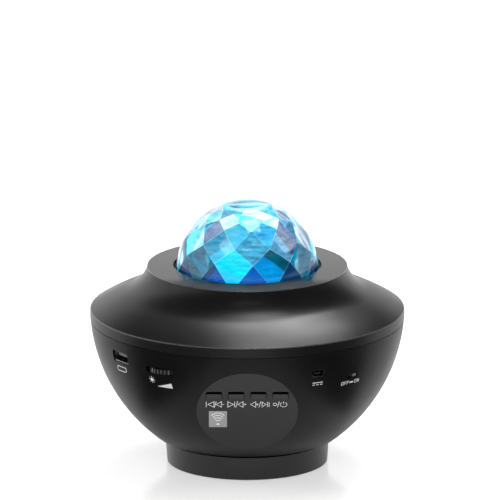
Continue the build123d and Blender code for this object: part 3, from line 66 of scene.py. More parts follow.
scene = bpy.context.scene
camera_data = bpy.data.cameras.new("camera")
camera_data.sensor_width = sensor_width
camera_data.lens = sensor_width * camera_distance / view_width
camera = bpy.data.objects.new("camera", camera_data)
scene.collection.objects.link(camera)
camera_side = Vector((0.0, -cos(camera_fall), sin(camera_fall)))
camera.location = camera_target + camera_distance * camera_side
camera.rotation_euler = (radians(90.0) - camera_fall, 0.0, 0.0)
scene.camera = camera
print("lens", round(camera_data.lens, 1), "mm at", camera_distance, "m")

# %% [markdown]
# ## Helpers for nodes
# Looks are made of nodes that are joined into a tree. Blender puts some nodes into a new tree by
# itself, so these helpers start from an empty one. A node also knows what kind of ray asks for its
# colour. So what the camera or a reflection sees can differ from what only lights the object.

# %% Make the helpers for nodes
direct_rays = ("Is Camera Ray", "Is Glossy Ray", "Is Transmission Ray")


def new_tree(owner):
    """Node tree of a material or world, emptied, with its output node."""
    owner.use_nodes = True
    tree = owner.node_tree
    tree.nodes.clear()
    kind = "ShaderNodeOutputWorld" if owner.id_type == "WORLD" else "ShaderNodeOutputMaterial"
    return tree, tree.nodes.new(kind)


def combined(tree, operation, first, second):
    """Math node of an operation on two outputs."""
    node = tree.nodes.new("ShaderNodeMath")
    node.operation = operation
    tree.links.new(first, node.inputs[0])
    tree.links.new(second, node.inputs[1])
    return node.outputs[0]


def seen_directly(tree):
    """One for camera, glossy and transmission rays, and zero for the rest."""
    path = tree.nodes.new("ShaderNodeLightPath")
    total = path.outputs[direct_rays[0]]
    for name in direct_rays[1:]:
        total = combined(tree, "MAXIMUM", total, path.outputs[name])
    return total


print("rays that see directly", direct_rays)

# %% [markdown]
# ## World
# Black plastic shows almost only what it mirrors, so the room matters more than the lamps. What is
# mirrored, or seen through clear plastic, is a white backdrop round the horizon under a dark
# ceiling, which gives the case pale edges and a dark body. The ceiling leans: it comes lower on the
# right and in front. The camera itself sees the backdrop as plain white, and all other light comes
# from an even room at half strength.

# %% Build the world
white = (1.0, 1.0, 1.0, 1.0)
room_strength = 0.5
ceiling_start, ceiling_end = 0.14, 0.34
ceiling_strength = 0.03
ceiling_lean = (0.22, -0.2)


def ceiling(tree):
    """Strength that falls from one to the ceiling's with height; the lean lowers it on one side."""
    direction = tree.nodes.new("ShaderNodeTexCoord")
    height = tree.nodes.new("ShaderNodeVectorMath")
    height.operation = "DOT_PRODUCT"
    height.inputs[1].default_value = (*ceiling_lean, 1.0)
    fall = tree.nodes.new("ShaderNodeMapRange")
    fall.interpolation_type = "SMOOTHSTEP"
    fall.inputs["From Min"].default_value = ceiling_start
    fall.inputs["From Max"].default_value = ceiling_end
    fall.inputs["To Min"].default_value = 1.0
    fall.inputs["To Max"].default_value = ceiling_strength
    tree.links.new(direction.outputs["Generated"], height.inputs[0])
    tree.links.new(height.outputs["Value"], fall.inputs["Value"])
    return fall.outputs[0]


def make_world():
    """Soft room light, with a white backdrop for what is seen directly."""
    world = bpy.data.worlds.new("studio")
    tree, output = new_tree(world)
    room = tree.nodes.new("ShaderNodeBackground")
    room.inputs["Color"].default_value = white
    room.inputs["Strength"].default_value = room_strength
    backdrop = tree.nodes.new("ShaderNodeBackground")
    backdrop.inputs["Color"].default_value = white
    path = tree.nodes.new("ShaderNodeLightPath")
    strength = combined(tree, "MAXIMUM", path.outputs["Is Camera Ray"], ceiling(tree))
    tree.links.new(strength, backdrop.inputs["Strength"])
    mix = tree.nodes.new("ShaderNodeMixShader")
    tree.links.new(seen_directly(tree), mix.inputs["Fac"])
    tree.links.new(room.outputs[0], mix.inputs[1])
    tree.links.new(backdrop.outputs[0], mix.inputs[2])
    tree.links.new(mix.outputs[0], output.inputs["Surface"])
    scene.world = world


make_world()
scene.view_settings.view_transform = "Standard"
print("world", scene.world.name)

# %% [markdown]
# ## Floor
# The object stands on a plain white table: a smooth sheet that shows the foot in a faint gloss and
# keeps the soft shadow round it. Where it is seen directly it has a little light of its own, so that
# it reads as white without more light on the object.

# %% Lay the floor
floor_half = 8.0
floor_white = (0.8, 0.8, 0.8, 1.0)
floor_roughness = 0.14
floor_glow = 0.4


def level_sheet(name, left, right, near, far, level):
    """Mesh of one level rectangle with its face up."""
    mesh = bpy.data.meshes.new(name)
    corners = [(left, near, level), (right, near, level), (right, far, level), (left, far, level)]
    mesh.from_pydata(corners, [], [(0, 1, 2, 3)])
    return mesh


def make_floor():
    """White table: smooth, with a little light of its own where it is seen directly."""
    mesh = level_sheet("floor", -floor_half, floor_half, -floor_half, floor_half, 0)
    table = bpy.data.objects.new("floor", mesh)
    scene.collection.objects.link(table)
    material = bpy.data.materials.new("white_table")
    tree, output = new_tree(material)
    paint = tree.nodes.new("ShaderNodeBsdfPrincipled")
    paint.inputs["Base Color"].default_value = floor_white
    paint.inputs["Roughness"].default_value = floor_roughness
    glow = tree.nodes.new("ShaderNodeEmission")
    lift = tree.nodes.new("ShaderNodeMath")
    lift.operation = "MULTIPLY"
    lift.inputs[1].default_value = floor_glow
    tree.links.new(seen_directly(tree), lift.inputs[0])
    tree.links.new(lift.outputs[0], glow.inputs["Strength"])
    both = tree.nodes.new("ShaderNodeAddShader")
    tree.links.new(paint.outputs[0], both.inputs[0])
    tree.links.new(glow.outputs[0], both.inputs[1])
    tree.links.new(both.outputs[0], output.inputs["Surface"])
    mesh.materials.append(material)


make_floor()
print("floor", 2 * floor_half, "m wide")

# %% [markdown]
# ## Cards
# The sides of the bowl would mirror the white table, so a dark card lies on each side, as is done
# for photographs of glossy black things. Only gloss sees the cards, so the table stays white and
# loses no light. It sees them only from above, so that the table doesn't mirror their undersides.

# %% Lay the cards
card_level = 1 * mm
card_black = (0.01, 0.01, 0.01, 1.0)
card_near, card_far = -0.45, -0.015
card_inner, card_outer = 0.08, 0.5


def black_card(name, left, right):
    """Card beside the object that only gloss sees, from above: it keeps a side of the bowl dark."""
    mesh = level_sheet(name, left, right, card_near, card_far, card_level)
    material = bpy.data.materials.new(name)
    tree, output = new_tree(material)
    felt = tree.nodes.new("ShaderNodeBsdfDiffuse")
    felt.inputs["Color"].default_value = card_black
    side = tree.nodes.new("ShaderNodeNewGeometry")
    open_side = tree.nodes.new("ShaderNodeBsdfTransparent")
    mix = tree.nodes.new("ShaderNodeMixShader")
    tree.links.new(side.outputs["Backfacing"], mix.inputs["Fac"])
    tree.links.new(felt.outputs[0], mix.inputs[1])
    tree.links.new(open_side.outputs[0], mix.inputs[2])
    tree.links.new(mix.outputs[0], output.inputs["Surface"])
    mesh.materials.append(material)
    card = bpy.data.objects.new(name, mesh)
    for kind in ("camera", "diffuse", "transmission", "shadow"):
        setattr(card, "visible_" + kind, False)
    scene.collection.objects.link(card)


black_card("left_card", -card_outer, -card_inner)
black_card("right_card", card_inner, card_outer)
print("cards", card_outer - card_inner, "m wide")

# %% [markdown]
# ## Lamps
# Soft boxes are large lamps, so their highlights are broad. One behind the top and one over it
# make the wide highlight on the shoulder of the cover, and a thin strip in front helps draw the line
# along its rim, whose edge also has a painted highlight. The left, right and front ones only fill,
# and gloss doesn't see them.

# %% Hang the lamps
def soft_box(name, place, aim, width, height, power, mirrored=True):
    """Rectangular lamp, turned to a point; the camera never sees it, and gloss only if mirrored."""
    data = bpy.data.lights.new(name, "AREA")
    data.shape = "RECTANGLE"
    data.size = width
    data.size_y = height
    data.energy = power
    lamp = bpy.data.objects.new(name, data)
    lamp.location = place
    lamp.rotation_euler = (Vector(aim) - Vector(place)).to_track_quat("-Z", "Y").to_euler()
    lamp.visible_camera = False
    lamp.visible_glossy = mirrored
    scene.collection.objects.link(lamp)


middle = (0.0, 0.0, 0.09)
soft_box("top_back", (0.24, 0.75, 1.37), middle, 0.7, 0.5, 10.5)
soft_box("top", (0.15, 0.05, 1.5), middle, 0.6, 0.45, 5.0)
soft_box("left", (-1.3, -0.1, 0.9), middle, 0.6, 0.6, 6.0, mirrored=False)
soft_box("right", (1.3, -0.1, 0.9), middle, 0.6, 0.6, 6.0, mirrored=False)
soft_box("front", (0.0, -1.5, 0.9), middle, 0.9, 0.5, 7.0, mirrored=False)
soft_box("rim_strip", (0.0, -1.2, 1.45), middle, 0.5, 0.12, 0.6)

# %% [markdown]
# ## Helpers for finishes
# Every finish starts from one Principled shader, with its colour, its roughness and what else the
# material needs. A piece gets one finish, or more than one, and then each of its faces says by a
# number which finish it has.

# %% Make the helpers for finishes
def finish(name, colour, roughness, **sockets):
    """Material with one Principled shader; sockets are given by name with _ for spaces."""
    material = bpy.data.materials.new(name)
    tree, output = new_tree(material)
    shader = tree.nodes.new("ShaderNodeBsdfPrincipled")
    shader.name = "shader"
    shader.inputs["Base Color"].default_value = (*colour, 1.0)
    shader.inputs["Roughness"].default_value = roughness
    for socket, value in sockets.items():
        shader.inputs[socket.replace("_", " ")].default_value = value
    tree.links.new(shader.outputs[0], output.inputs["Surface"])
    return material


def own_light(material, colour, strength):
    """Gives a finish a light of its own."""
    shader = material.node_tree.nodes["shader"]
    shader.inputs["Emission Color"].default_value = (*colour, 1.0)
    shader.inputs["Emission Strength"].default_value = strength


def dress(material, *names):
    """Gives CAD nodes one finish."""
    for name in names:
        mesh = nodes[name].data
        mesh.materials.clear()
        mesh.materials.append(material)
    print(material.name, "on", ", ".join(names))


def add_finish(mesh, material):
    """Puts one more finish on a mesh and gives its number, for the faces that get it."""
    mesh.materials.append(material)
    return len(mesh.materials) - 1


print("pieces to dress", len(nodes))

# %% [markdown]
# ## Helpers for detail
# Moulded plastic, plated metal and rubber differ in three kinds of detail: a grain in the surface,
# a change of gloss and a change of colour from place to place. One helper adds each kind. An image
# would have to be wrapped round each piece, so the detail comes from noise in object space, which
# keeps its real scale on any piece.

# %% Make the helpers for detail
even = (1.0, 1.0, 1.0)
noise_low, noise_high = 0.3, 0.7
plain_detail, rich_detail = 2.0, 3.0
mix_first, mix_second, mix_result = 6, 7, 2


def noise(tree, size, detail=plain_detail, stretch=even):
    """Noise whose features are about a size in metres; the stretch makes it run along an axis."""
    place = tree.nodes.new("ShaderNodeTexCoord")
    scale = tree.nodes.new("ShaderNodeMapping")
    scale.inputs["Scale"].default_value = [s / size for s in stretch]
    texture = tree.nodes.new("ShaderNodeTexNoise")
    texture.inputs["Scale"].default_value = 1.0
    texture.inputs["Detail"].default_value = detail
    tree.links.new(place.outputs["Object"], scale.inputs["Vector"])
    tree.links.new(scale.outputs[0], texture.inputs["Vector"])
    return texture.outputs["Fac"]


def ranged(tree, value, low, high):
    """Noise value, spread from low to high."""
    node = tree.nodes.new("ShaderNodeMapRange")
    node.inputs["From Min"].default_value = noise_low
    node.inputs["From Max"].default_value = noise_high
    node.inputs["To Min"].default_value = low
    node.inputs["To Max"].default_value = high
    tree.links.new(value, node.inputs["Value"])
    return node.outputs[0]


def grain(material, size, depth, stretch=even):
    """Fine relief: noise of a size and a depth, both in metres."""
    tree = material.node_tree
    bump = tree.nodes.new("ShaderNodeBump")
    bump.inputs["Distance"].default_value = depth
    tree.links.new(noise(tree, size, plain_detail, stretch), bump.inputs["Height"])
    tree.links.new(bump.outputs[0], tree.nodes["shader"].inputs["Normal"])


def uneven_gloss(material, size, low, high, stretch=even):
    """Roughness that wanders between two values."""
    tree = material.node_tree
    wander = ranged(tree, noise(tree, size, rich_detail, stretch), low, high)
    tree.links.new(wander, tree.nodes["shader"].inputs["Roughness"])


def uneven_colour(material, size, first, second, stretch=even):
    """Base colour that wanders between two colours."""
    tree = material.node_tree
    mix = tree.nodes.new("ShaderNodeMix")
    mix.data_type = "RGBA"
    mix.inputs[mix_first].default_value = (*first, 1.0)
    mix.inputs[mix_second].default_value = (*second, 1.0)
    wander = ranged(tree, noise(tree, size, rich_detail, stretch), 0.0, 1.0)
    tree.links.new(wander, mix.inputs[0])
    tree.links.new(mix.outputs[mix_result], tree.nodes["shader"].inputs["Base Color"])


details = (grain, uneven_gloss, uneven_colour)
print("kinds of detail", [detail.__name__ for detail in details])

# %% [markdown]
# ## Case
# The bowl, the cover and the foot are black moulded plastic with a satin finish: a mould that was
# blasted leaves a very fine grain, which spreads every reflection. The cover came from a mould
# that was polished more, so it is glossier than the bowl.

# %% Finish the case
case_black = (0.004, 0.004, 0.0045)
case_grey = (0.006, 0.006, 0.0065)
case_grain = 0.35 * mm
colour_patch = 18 * mm
gloss_patch = 30 * mm


def moulded(name, roughness, specular, depth):
    """Black case plastic with a grain of a depth and a colour that wanders a little."""
    material = finish(name, case_black, roughness, Specular_IOR_Level=specular)
    grain(material, case_grain, depth)
    uneven_colour(material, colour_patch, case_black, case_grey)
    return material


case_plastic = moulded("case_plastic", 0.38, 0.14, 0.005 * mm)
uneven_gloss(case_plastic, gloss_patch, 0.35, 0.41)
cover_plastic = moulded("cover_plastic", 0.34, 0.5, 0.004 * mm)
uneven_gloss(cover_plastic, gloss_patch, 0.31, 0.37)
dress(case_plastic, "lower_bowl")
dress(cover_plastic, "top_cover", "foot")

# %% [markdown]
# ## Rim
# An upright band runs round the rim of the cover, duller than the rest. Over it is a narrow rounded
# edge that shows a thin pale line. A lamp alone would draw this line too faintly, so the edge gets a
# much paler colour: a painted highlight. Both are faces of one solid, so they are found by where
# they lie and which way they turn.

# %% Finish the rim
rim_start = 82.5 * mm
band_limit = 0.25
edge_limit = 0.82


def reach(face):
    """Distance of the middle of a face from the axis of the object."""
    return hypot(face.center.x, face.center.y)


cover_mesh = nodes["top_cover"].data
rim_plastic = moulded("rim_plastic", 0.38, 0.26, 0.005 * mm)
# Much paler colour on the rounded edge of the rim: a painted highlight.
edge_painted_highlight = finish("edge_painted_highlight", (0.06, 0.06, 0.061), 0.3, Specular_IOR_Level=0.8)
uneven_gloss(edge_painted_highlight, 9 * mm, 0.24, 0.36)
rim_number = add_finish(cover_mesh, rim_plastic)
painted_edge_number = add_finish(cover_mesh, edge_painted_highlight)
rim_faces = [face for face in cover_mesh.polygons if reach(face) > rim_start]
for face in rim_faces:
    if abs(face.normal.z) < band_limit:
        face.material_index = rim_number
    elif band_limit <= face.normal.z < edge_limit:
        face.material_index = painted_edge_number
print("rim faces", len(rim_faces))

# %% [markdown]
# ## Collar
# The ring round the dome has a polished top, and its edge gets the same painted highlight as the
# rim. In the picture the front of the top shows no clear mirror image of the lit dome. A change of
# roughness is the simplest way to that, so the top is polished at the back and gets duller towards
# the front.

# %% Finish the collar
collar_depth = 1.2 * mm
collar_edge_start = 53.2 * mm
level_limit = 0.95
upright_limit = 0.3


def duller_in_front(material, polished, dull, start, end):
    """Roughness that rises towards the front, from one y to another."""
    tree = material.node_tree
    place = tree.nodes.new("ShaderNodeTexCoord")
    axes = tree.nodes.new("ShaderNodeSeparateXYZ")
    rise = tree.nodes.new("ShaderNodeMapRange")
    rise.interpolation_type = "SMOOTHSTEP"
    rise.inputs["From Min"].default_value = start
    rise.inputs["From Max"].default_value = end
    rise.inputs["To Min"].default_value = polished
    rise.inputs["To Max"].default_value = dull
    tree.links.new(place.outputs["Object"], axes.inputs[0])
    tree.links.new(axes.outputs["Y"], rise.inputs["Value"])
    tree.links.new(rise.outputs[0], tree.nodes["shader"].inputs["Roughness"])


collar_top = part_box("top_cover")[1][2]
collar_plastic = moulded("collar_plastic", 0.22, 0.5, 0.003 * mm)
duller_in_front(collar_plastic, polished=0.2, dull=0.6, start=-26 * mm, end=-44 * mm)
collar_number = add_finish(cover_mesh, collar_plastic)
# The upright edge of the collar gets the same painted highlight as the rim edge.
collar_faces = [face for face in cover_mesh.polygons if face.center.z > collar_top - collar_depth]
for face in collar_faces:
    if face.normal.z > level_limit:
        face.material_index = collar_number
    elif abs(face.normal.z) < upright_limit and reach(face) > collar_edge_start:
        face.material_index = painted_edge_number
print("collar faces", len(collar_faces))

# %% [markdown]
# ## Control panel
# The flat panel in the front of the bowl is a little paler than the bowl. It belongs to the same
# solid, so its faces are found by their direction, which is the way that the buttons are pressed.

# %% Finish the control panel
square_limit = 0.9999
panel_flatness = 0.1 * mm
panel_plastic = finish("panel_plastic", (0.014, 0.014, 0.0148), 0.4, Specular_IOR_Level=0.32)
grain(panel_plastic, case_grain, 0.004 * mm)
uneven_gloss(panel_plastic, 25 * mm, 0.36, 0.42)

press = next(joint for joint in frame["joints"] if joint["name"] == "next_press")
panel_out = -Vector(press["axis"]).normalized()
panel_up = Vector((0.0, panel_out.z, -panel_out.y))
bowl_mesh = nodes["lower_bowl"].data
panel_number = add_finish(bowl_mesh, panel_plastic)
facing = [face for face in bowl_mesh.polygons if face.normal.dot(panel_out) > square_limit]
panel_level = max(face.center.dot(panel_out) for face in facing)
panel_start = panel_level - panel_flatness
panel_faces = [face for face in facing if face.center.dot(panel_out) > panel_start]
for face in panel_faces:
    face.material_index = panel_number
print("panel faces", len(panel_faces), "level", round(panel_level, 5))

# %% [markdown]
# Each button stands in a slot of the panel, and a thin line shows round it that is almost black.
# The finish of the panel would leave it too pale, so the walls of the slots get a near-black colour
# of their own: painted shade, for the dark that shadow makes in them. They are the faces just behind
# the panel that stand square to it.

# %% Paint shade into the slots
slot_margin = 1.5 * mm
slot_depth = 4 * mm
# Near-black colour for the walls of the slots: painted shade.
slot_painted_shade = finish("slot_painted_shade", (0.0012, 0.0012, 0.0012), 0.8, Specular_IOR_Level=0.04)
grain(slot_painted_shade, 0.4 * mm, 0.006 * mm)


def beside_panel(face):
    """True for a face that stands about square to the panel."""
    return abs(face.normal.dot(panel_out)) < upright_limit


slot_number = add_finish(bowl_mesh, slot_painted_shade)
slot_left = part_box("previous_button")[0][0] - slot_margin
slot_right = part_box("mode_button")[1][0] + slot_margin
slot_count = 0
for face in bowl_mesh.polygons:
    depth = panel_level - face.center.dot(panel_out)
    inside = slot_left < face.center.x < slot_right and face.center.y < 0
    if beside_panel(face) and inside and -panel_flatness < depth < slot_depth:
        face.material_index = slot_number
        slot_count += 1
print("slot faces", slot_count)

# %% [markdown]
# ## Dome
# The dome is clear plastic: smooth outside, with flat facets inside that stand on a low round wall.
# With the lamp on, each facet shows another part of the turning ripple lens, so facets side by side
# differ in colour. A true simulation of that light would need far more rays than it is worth.
# Instead that light is painted on: each inner facet gets a colour of light of its own as a face
# attribute. First the triangles of the dome are gathered into facets: those of one facet all turn
# the same way.

# %% Gather the facets
dome_radius = 38.05 * mm
inner_limit = -0.8
wall_limit = -0.1
dome_middle = Vector((0.0, 0.0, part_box("dome")[1][2] - dome_radius))
dome_mesh = nodes["dome"].data


def facet_groups(mesh):
    """Inner faces of the dome: its wall, and the facets gathered by their direction."""
    wall, groups = [], {}
    for face in mesh.polygons:
        outwards = (face.center - dome_middle).normalized()
        if face.normal.dot(outwards) < inner_limit:
            key = tuple(round(x, 2) for x in face.normal)
            if key[2] > wall_limit:
                wall.append(face)
            else:
                groups.setdefault(key, []).append(face)
    return wall, groups


wall_faces, facets = facet_groups(dome_mesh)
inner_groups = (wall_faces, *facets.values())
rows = sorted({-key[2] for key in facets})
print("facets", len(facets), "rows", [round(row, 2) for row in rows])

# %% [markdown]
# A few colour families are enough, and each row of facets draws from its own, while the wall is
# deep blue all round. The draw is random from a fixed number, so it is the same each time. Many
# numbers were tried, and this one puts bright facets in the front about where the picture has them.

# %% Colour the facets
lamp_cyan = (0.0, 0.66, 0.78)
lamp_sky = (0.0, 0.18, 0.29)
lamp_deep = (0.001, 0.038, 0.135)
lamp_pale = (0.11, 0.66, 0.92)
lamp_mauve = (0.19, 0.225, 0.35)
lamp_white = (0.9, 0.97, 1.0)
row_families = (
    (lamp_cyan, lamp_sky, lamp_deep),
    (lamp_pale, lamp_mauve, lamp_mauve),
    (lamp_pale, lamp_mauve, lamp_sky),
    (lamp_pale, lamp_white, lamp_mauve),
    (lamp_pale, lamp_white, lamp_mauve),
    (lamp_pale,),
)
facet_seed = 3465
dimmest, brightest = 0.75, 1.15

facet_random = random.Random(facet_seed)
# Each facet's colour is painted lamp light, which tints the dome and glows from it.
facet_light = dome_mesh.attributes.new("facet_light", "FLOAT_COLOR", "FACE")
for face in wall_faces:
    facet_light.data[face.index].color = (*lamp_deep, 1.0)
for key in sorted(facets):
    family = row_families[rows.index(-key[2])]
    colour = Vector(facet_random.choice(family)) * facet_random.uniform(dimmest, brightest)
    for face in facets[key]:
        facet_light.data[face.index].color = (*colour, 1.0)
print("coloured", len(wall_faces), "wall faces and", len(facets), "facets")

# %% [markdown]
# Light gathers along the sides of the facets, so thin pale lines run between them, and here they are
# painted highlights in the glow. The distance to a straight side grows evenly across a flat facet.
# So a facet with up to four sides needs only four numbers at each corner of its triangles, one for
# each side, and the shader knows everywhere how far off the nearest side is. What has more sides
# than that gets no lines.

# %% Measure to the sides of the facets
# The pale lines along the sides of the facets are painted highlights.
line_width = 0.2 * mm
most_sides = 4
far_off = 9.0
facet_sides = dome_mesh.attributes.new("facet_sides", "FLOAT_COLOR", "CORNER")


def sides_of(group):
    """Sides of a facet, as a point and a direction each: the edges that one triangle alone has."""
    seen = {}
    for face in group:
        for pair in face.edge_keys:
            ends = [dome_mesh.vertices[i].co for i in pair]
            key = tuple(sorted(tuple(round(x, 6) for x in end) for end in ends))
            seen.setdefault(key, []).append(ends)
    single = [ends[0] for ends in seen.values() if len(ends) == 1]
    return [(start, (end - start).normalized()) for start, end in single]


side_counts = set()
for group in inner_groups:
    sides = sides_of(group)
    side_counts.add(len(sides))
    few = sides if len(sides) <= most_sides else []
    for face in group:
        for corner in face.loop_indices:
            point = dome_mesh.vertices[dome_mesh.loops[corner].vertex_index].co
            apart = [(point - start).cross(along).length / line_width for start, along in few]
            facet_sides.data[corner].color = (apart + [far_off] * most_sides)[:most_sides]
print("sides of the facets", sorted(side_counts))

# %% [markdown]
# The outside of the dome is plain clear plastic. The finish of the facets tints what shows through
# them with each facet's colour, and adds a painted glow of the same colour, crossed by the ripples
# of the turning lens, and the pale lines along the sides.

# %% Finish the dome
plastic_index = 1.49
glow_strength = 0.62
ripple_size = 3.2 * mm
ripple_stretch = (0.35, 0.35, 1.6)
ripple_low, ripple_high = 0.35, 1.65
line_glow = (0.75, 0.95, 1.0)
line_patch = 7 * mm
line_faintest = 0.1


def side_lines(tree):
    """One on the sides of the facets and zero away from them, brighter in some places."""
    apart = tree.nodes.new("ShaderNodeAttribute")
    apart.attribute_name = "facet_sides"
    parts = tree.nodes.new("ShaderNodeSeparateColor")
    tree.links.new(apart.outputs["Color"], parts.inputs[0])
    nearest = apart.outputs["Alpha"]
    for part in parts.outputs:
        nearest = combined(tree, "MINIMUM", nearest, part)
    fade = tree.nodes.new("ShaderNodeMapRange")
    fade.inputs["To Min"].default_value = 1.0
    fade.inputs["To Max"].default_value = 0.0
    tree.links.new(nearest, fade.inputs["Value"])
    patches = ranged(tree, noise(tree, line_patch), line_faintest, 1.0)
    return combined(tree, "MULTIPLY", fade.outputs[0], patches)


def glow_by_facet(material):
    """Painted glow in each facet's lamp colour, crossed by ripples, with pale lines along its sides.
    """
    tree = material.node_tree
    shader = tree.nodes["shader"]
    shader.inputs["Emission Strength"].default_value = glow_strength
    own = tree.nodes.new("ShaderNodeAttribute")
    own.attribute_name = "facet_light"
    waves = noise(tree, ripple_size, rich_detail, ripple_stretch)
    glow = tree.nodes.new("ShaderNodeVectorMath")
    glow.operation = "SCALE"
    tree.links.new(own.outputs["Color"], shader.inputs["Base Color"])
    tree.links.new(own.outputs["Color"], glow.inputs["Vector"])
    tree.links.new(ranged(tree, waves, ripple_low, ripple_high), glow.inputs["Scale"])
    bright = tree.nodes.new("ShaderNodeVectorMath")
    bright.operation = "MULTIPLY_ADD"
    bright.inputs[1].default_value = line_glow
    tree.links.new(side_lines(tree), bright.inputs[0])
    tree.links.new(glow.outputs[0], bright.inputs[2])
    tree.links.new(bright.outputs[0], shader.inputs["Emission Color"])


def clear(name, colour, roughness, passes=1.0):
    """See-through plastic; what doesn't pass through it shows its colour."""
    return finish(name, colour, roughness, Transmission_Weight=passes, IOR=plastic_index)


clear_plastic = clear("clear_plastic", (0.68, 0.8, 0.86), 0.02)
uneven_gloss(clear_plastic, 12 * mm, 0.01, 0.04)
facet_plastic = clear("facet_plastic", (0.94, 0.98, 1.0), 0.02)
glow_by_facet(facet_plastic)
dress(clear_plastic, "dome")
facet_number = add_finish(dome_mesh, facet_plastic)
for group in inner_groups:
    for face in group:
        face.material_index = facet_number

# %% [markdown]
# ## Light engine
# Under the dome lie the lamps, the lenses and the gears that turn them. They show dimly through
# the dome, so they get true finishes too: clear lenses, white gears and deck, bright lamps. The
# ripple lens has a wavy surface that bends the light, made by a strong coarse grain. It also glows a
# little blue, as painted light for the lamps that shine through it.

# %% Finish the light engine
lens_plastic = clear("lens_plastic", (0.95, 0.98, 1.0), 0.03)
grain(lens_plastic, 5 * mm, 0.6 * mm)
# The ripple lens is clear plastic with a painted blue glow for the lamp light in it.
ripple_plastic_painted_glow = clear("ripple_plastic_painted_glow", (0.7, 0.88, 1.0), 0.08, 0.7)
grain(ripple_plastic_painted_glow, 4 * mm, 1.2 * mm, (1.0, 1.0, 2.0))
own_light(ripple_plastic_painted_glow, (0.05, 0.4, 0.9), 0.35)
engine_plastic = finish("engine_plastic", (0.7, 0.71, 0.72), 0.5)
grain(engine_plastic, 0.4 * mm, 0.01 * mm)
uneven_colour(engine_plastic, 20 * mm, (0.68, 0.69, 0.7), (0.74, 0.75, 0.76))
gear_plastic = finish("gear_plastic", (0.83, 0.82, 0.77), 0.42, Subsurface_Weight=0.1)
uneven_gloss(gear_plastic, 3 * mm, 0.36, 0.5)
lamp_lens = finish("lamp_lens", (0.75, 0.9, 1.0), 0.15)
own_light(lamp_lens, (0.25, 0.7, 1.0), 4.0)
uneven_gloss(lamp_lens, 1 * mm, 0.1, 0.25)
dress(lens_plastic, "condenser_lens", "laser_lens", "grating_film")
dress(ripple_plastic_painted_glow, "ripple_lens")
dress(engine_plastic, "optical_deck", "dome_retainer", "gear_keeper")
dress(gear_plastic, "ripple_gear", "drive_pinion", "grating_gear")
dress(lamp_lens, "led_emitters")

# %% [markdown]
# ## Buttons, wheel and switch
# The push buttons are as black as the panel and a little glossier, and their sides get the same
# painted shade as the slots. The switch knob is a dark grey nylon, a little paler than its slot.

# %% Finish the buttons and the switch
button_names = ("previous_button", "next_button", "mute_button", "mode_button")
button_plastic = finish("button_plastic", (0.014, 0.014, 0.0148), 0.38, Specular_IOR_Level=0.4)
grain(button_plastic, 0.3 * mm, 0.004 * mm)
uneven_gloss(button_plastic, 4 * mm, 0.32, 0.44)
dress(button_plastic, *button_names)
for name in button_names:
    button_mesh = nodes[name].data
    # The sides of the buttons get the same painted shade as the slots.
    side_number = add_finish(button_mesh, slot_painted_shade)
    for face in button_mesh.polygons:
        if beside_panel(face):
            face.material_index = side_number

knob_nylon = finish("knob_nylon", (0.11, 0.11, 0.112), 0.5)
grain(knob_nylon, 0.25 * mm, 0.006 * mm)
switch_black = finish("switch_black", (0.02, 0.02, 0.02), 0.55)
uneven_gloss(switch_black, 2 * mm, 0.48, 0.62)
dress(knob_nylon, "power_switch")
dress(switch_black, "switch_body", "tact_switches", "dial_potentiometer", "board_chips")

# %% [markdown]
# The brightness wheel is black plastic, and its colour is made darker still as painted shade for its
# grooves and the top of its slot. The crests of its ribs catch the light, and the grooves between
# them stay dark. One finish gives too little contrast for that, so the crests get a paler colour: a
# painted highlight. They are the faces at the very edge of the wheel.

# %% Finish the wheel
crest_depth = 0.08 * mm
# Very dark colour for the wheel: its own black, made deeper as painted shade.
wheel_plastic = finish("wheel_plastic", (0.003, 0.003, 0.0032), 0.4, Specular_IOR_Level=0.16)
uneven_gloss(wheel_plastic, 2 * mm, 0.36, 0.46)
# Paler colour on the crests of the ribs: a painted highlight.
rib_painted_highlight = finish("rib_painted_highlight", (0.055, 0.055, 0.056), 0.3, Specular_IOR_Level=0.5)
uneven_gloss(rib_painted_highlight, 2 * mm, 0.24, 0.36)
dress(wheel_plastic, "brightness_dial")

wheel_low, wheel_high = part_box("brightness_dial")
wheel_x = (wheel_low[0] + wheel_high[0]) / 2
wheel_y = (wheel_low[1] + wheel_high[1]) / 2
wheel_radius = (wheel_high[0] - wheel_low[0]) / 2
wheel_mesh = nodes["brightness_dial"].data
painted_rib_number = add_finish(wheel_mesh, rib_painted_highlight)
for face in wheel_mesh.polygons:
    out = hypot(face.center.x - wheel_x, face.center.y - wheel_y)
    if abs(face.normal.z) < upright_limit and out > wheel_radius - crest_depth:
        face.material_index = painted_rib_number
print("wheel radius", round(wheel_radius, 5))

# %% [markdown]
# ## Sockets
# The sockets are folded tin plate round an insulator, grey in the wide one and black in the small
# one, whose plate is darker too. Rolled plate has faint lines along the roll, so its gloss wanders
# in long streaks.

# %% Finish the sockets
roll_size = 0.6 * mm
roll_stretch = (0.2, 0.2, 2.0)
tin_plate = finish("tin_plate", (0.5, 0.5, 0.51), 0.3, Metallic=1.0)
uneven_gloss(tin_plate, roll_size, 0.22, 0.4, roll_stretch)
dark_tin = finish("dark_tin", (0.3, 0.3, 0.305), 0.4, Metallic=1.0)
uneven_gloss(dark_tin, roll_size, 0.34, 0.46, roll_stretch)
socket_black = finish("socket_black", (0.018, 0.018, 0.019), 0.5)
grain(socket_black, 0.3 * mm, 0.005 * mm)
socket_grey = finish("socket_grey", (0.2, 0.2, 0.2), 0.5)
grain(socket_grey, 0.3 * mm, 0.005 * mm)
dress(tin_plate, "usb_shell")
dress(dark_tin, "dc_shell")
dress(socket_black, "dc_insulator")
dress(socket_grey, "usb_insulator")

# %% [markdown]
# ## Boards
# The boards are glass laminate under green lacquer. The tracks under the lacquer show as paler
# lines at right angles, so the colour and the relief wander in two crossed streaky noises. The
# plugs for the wires are cream nylon.

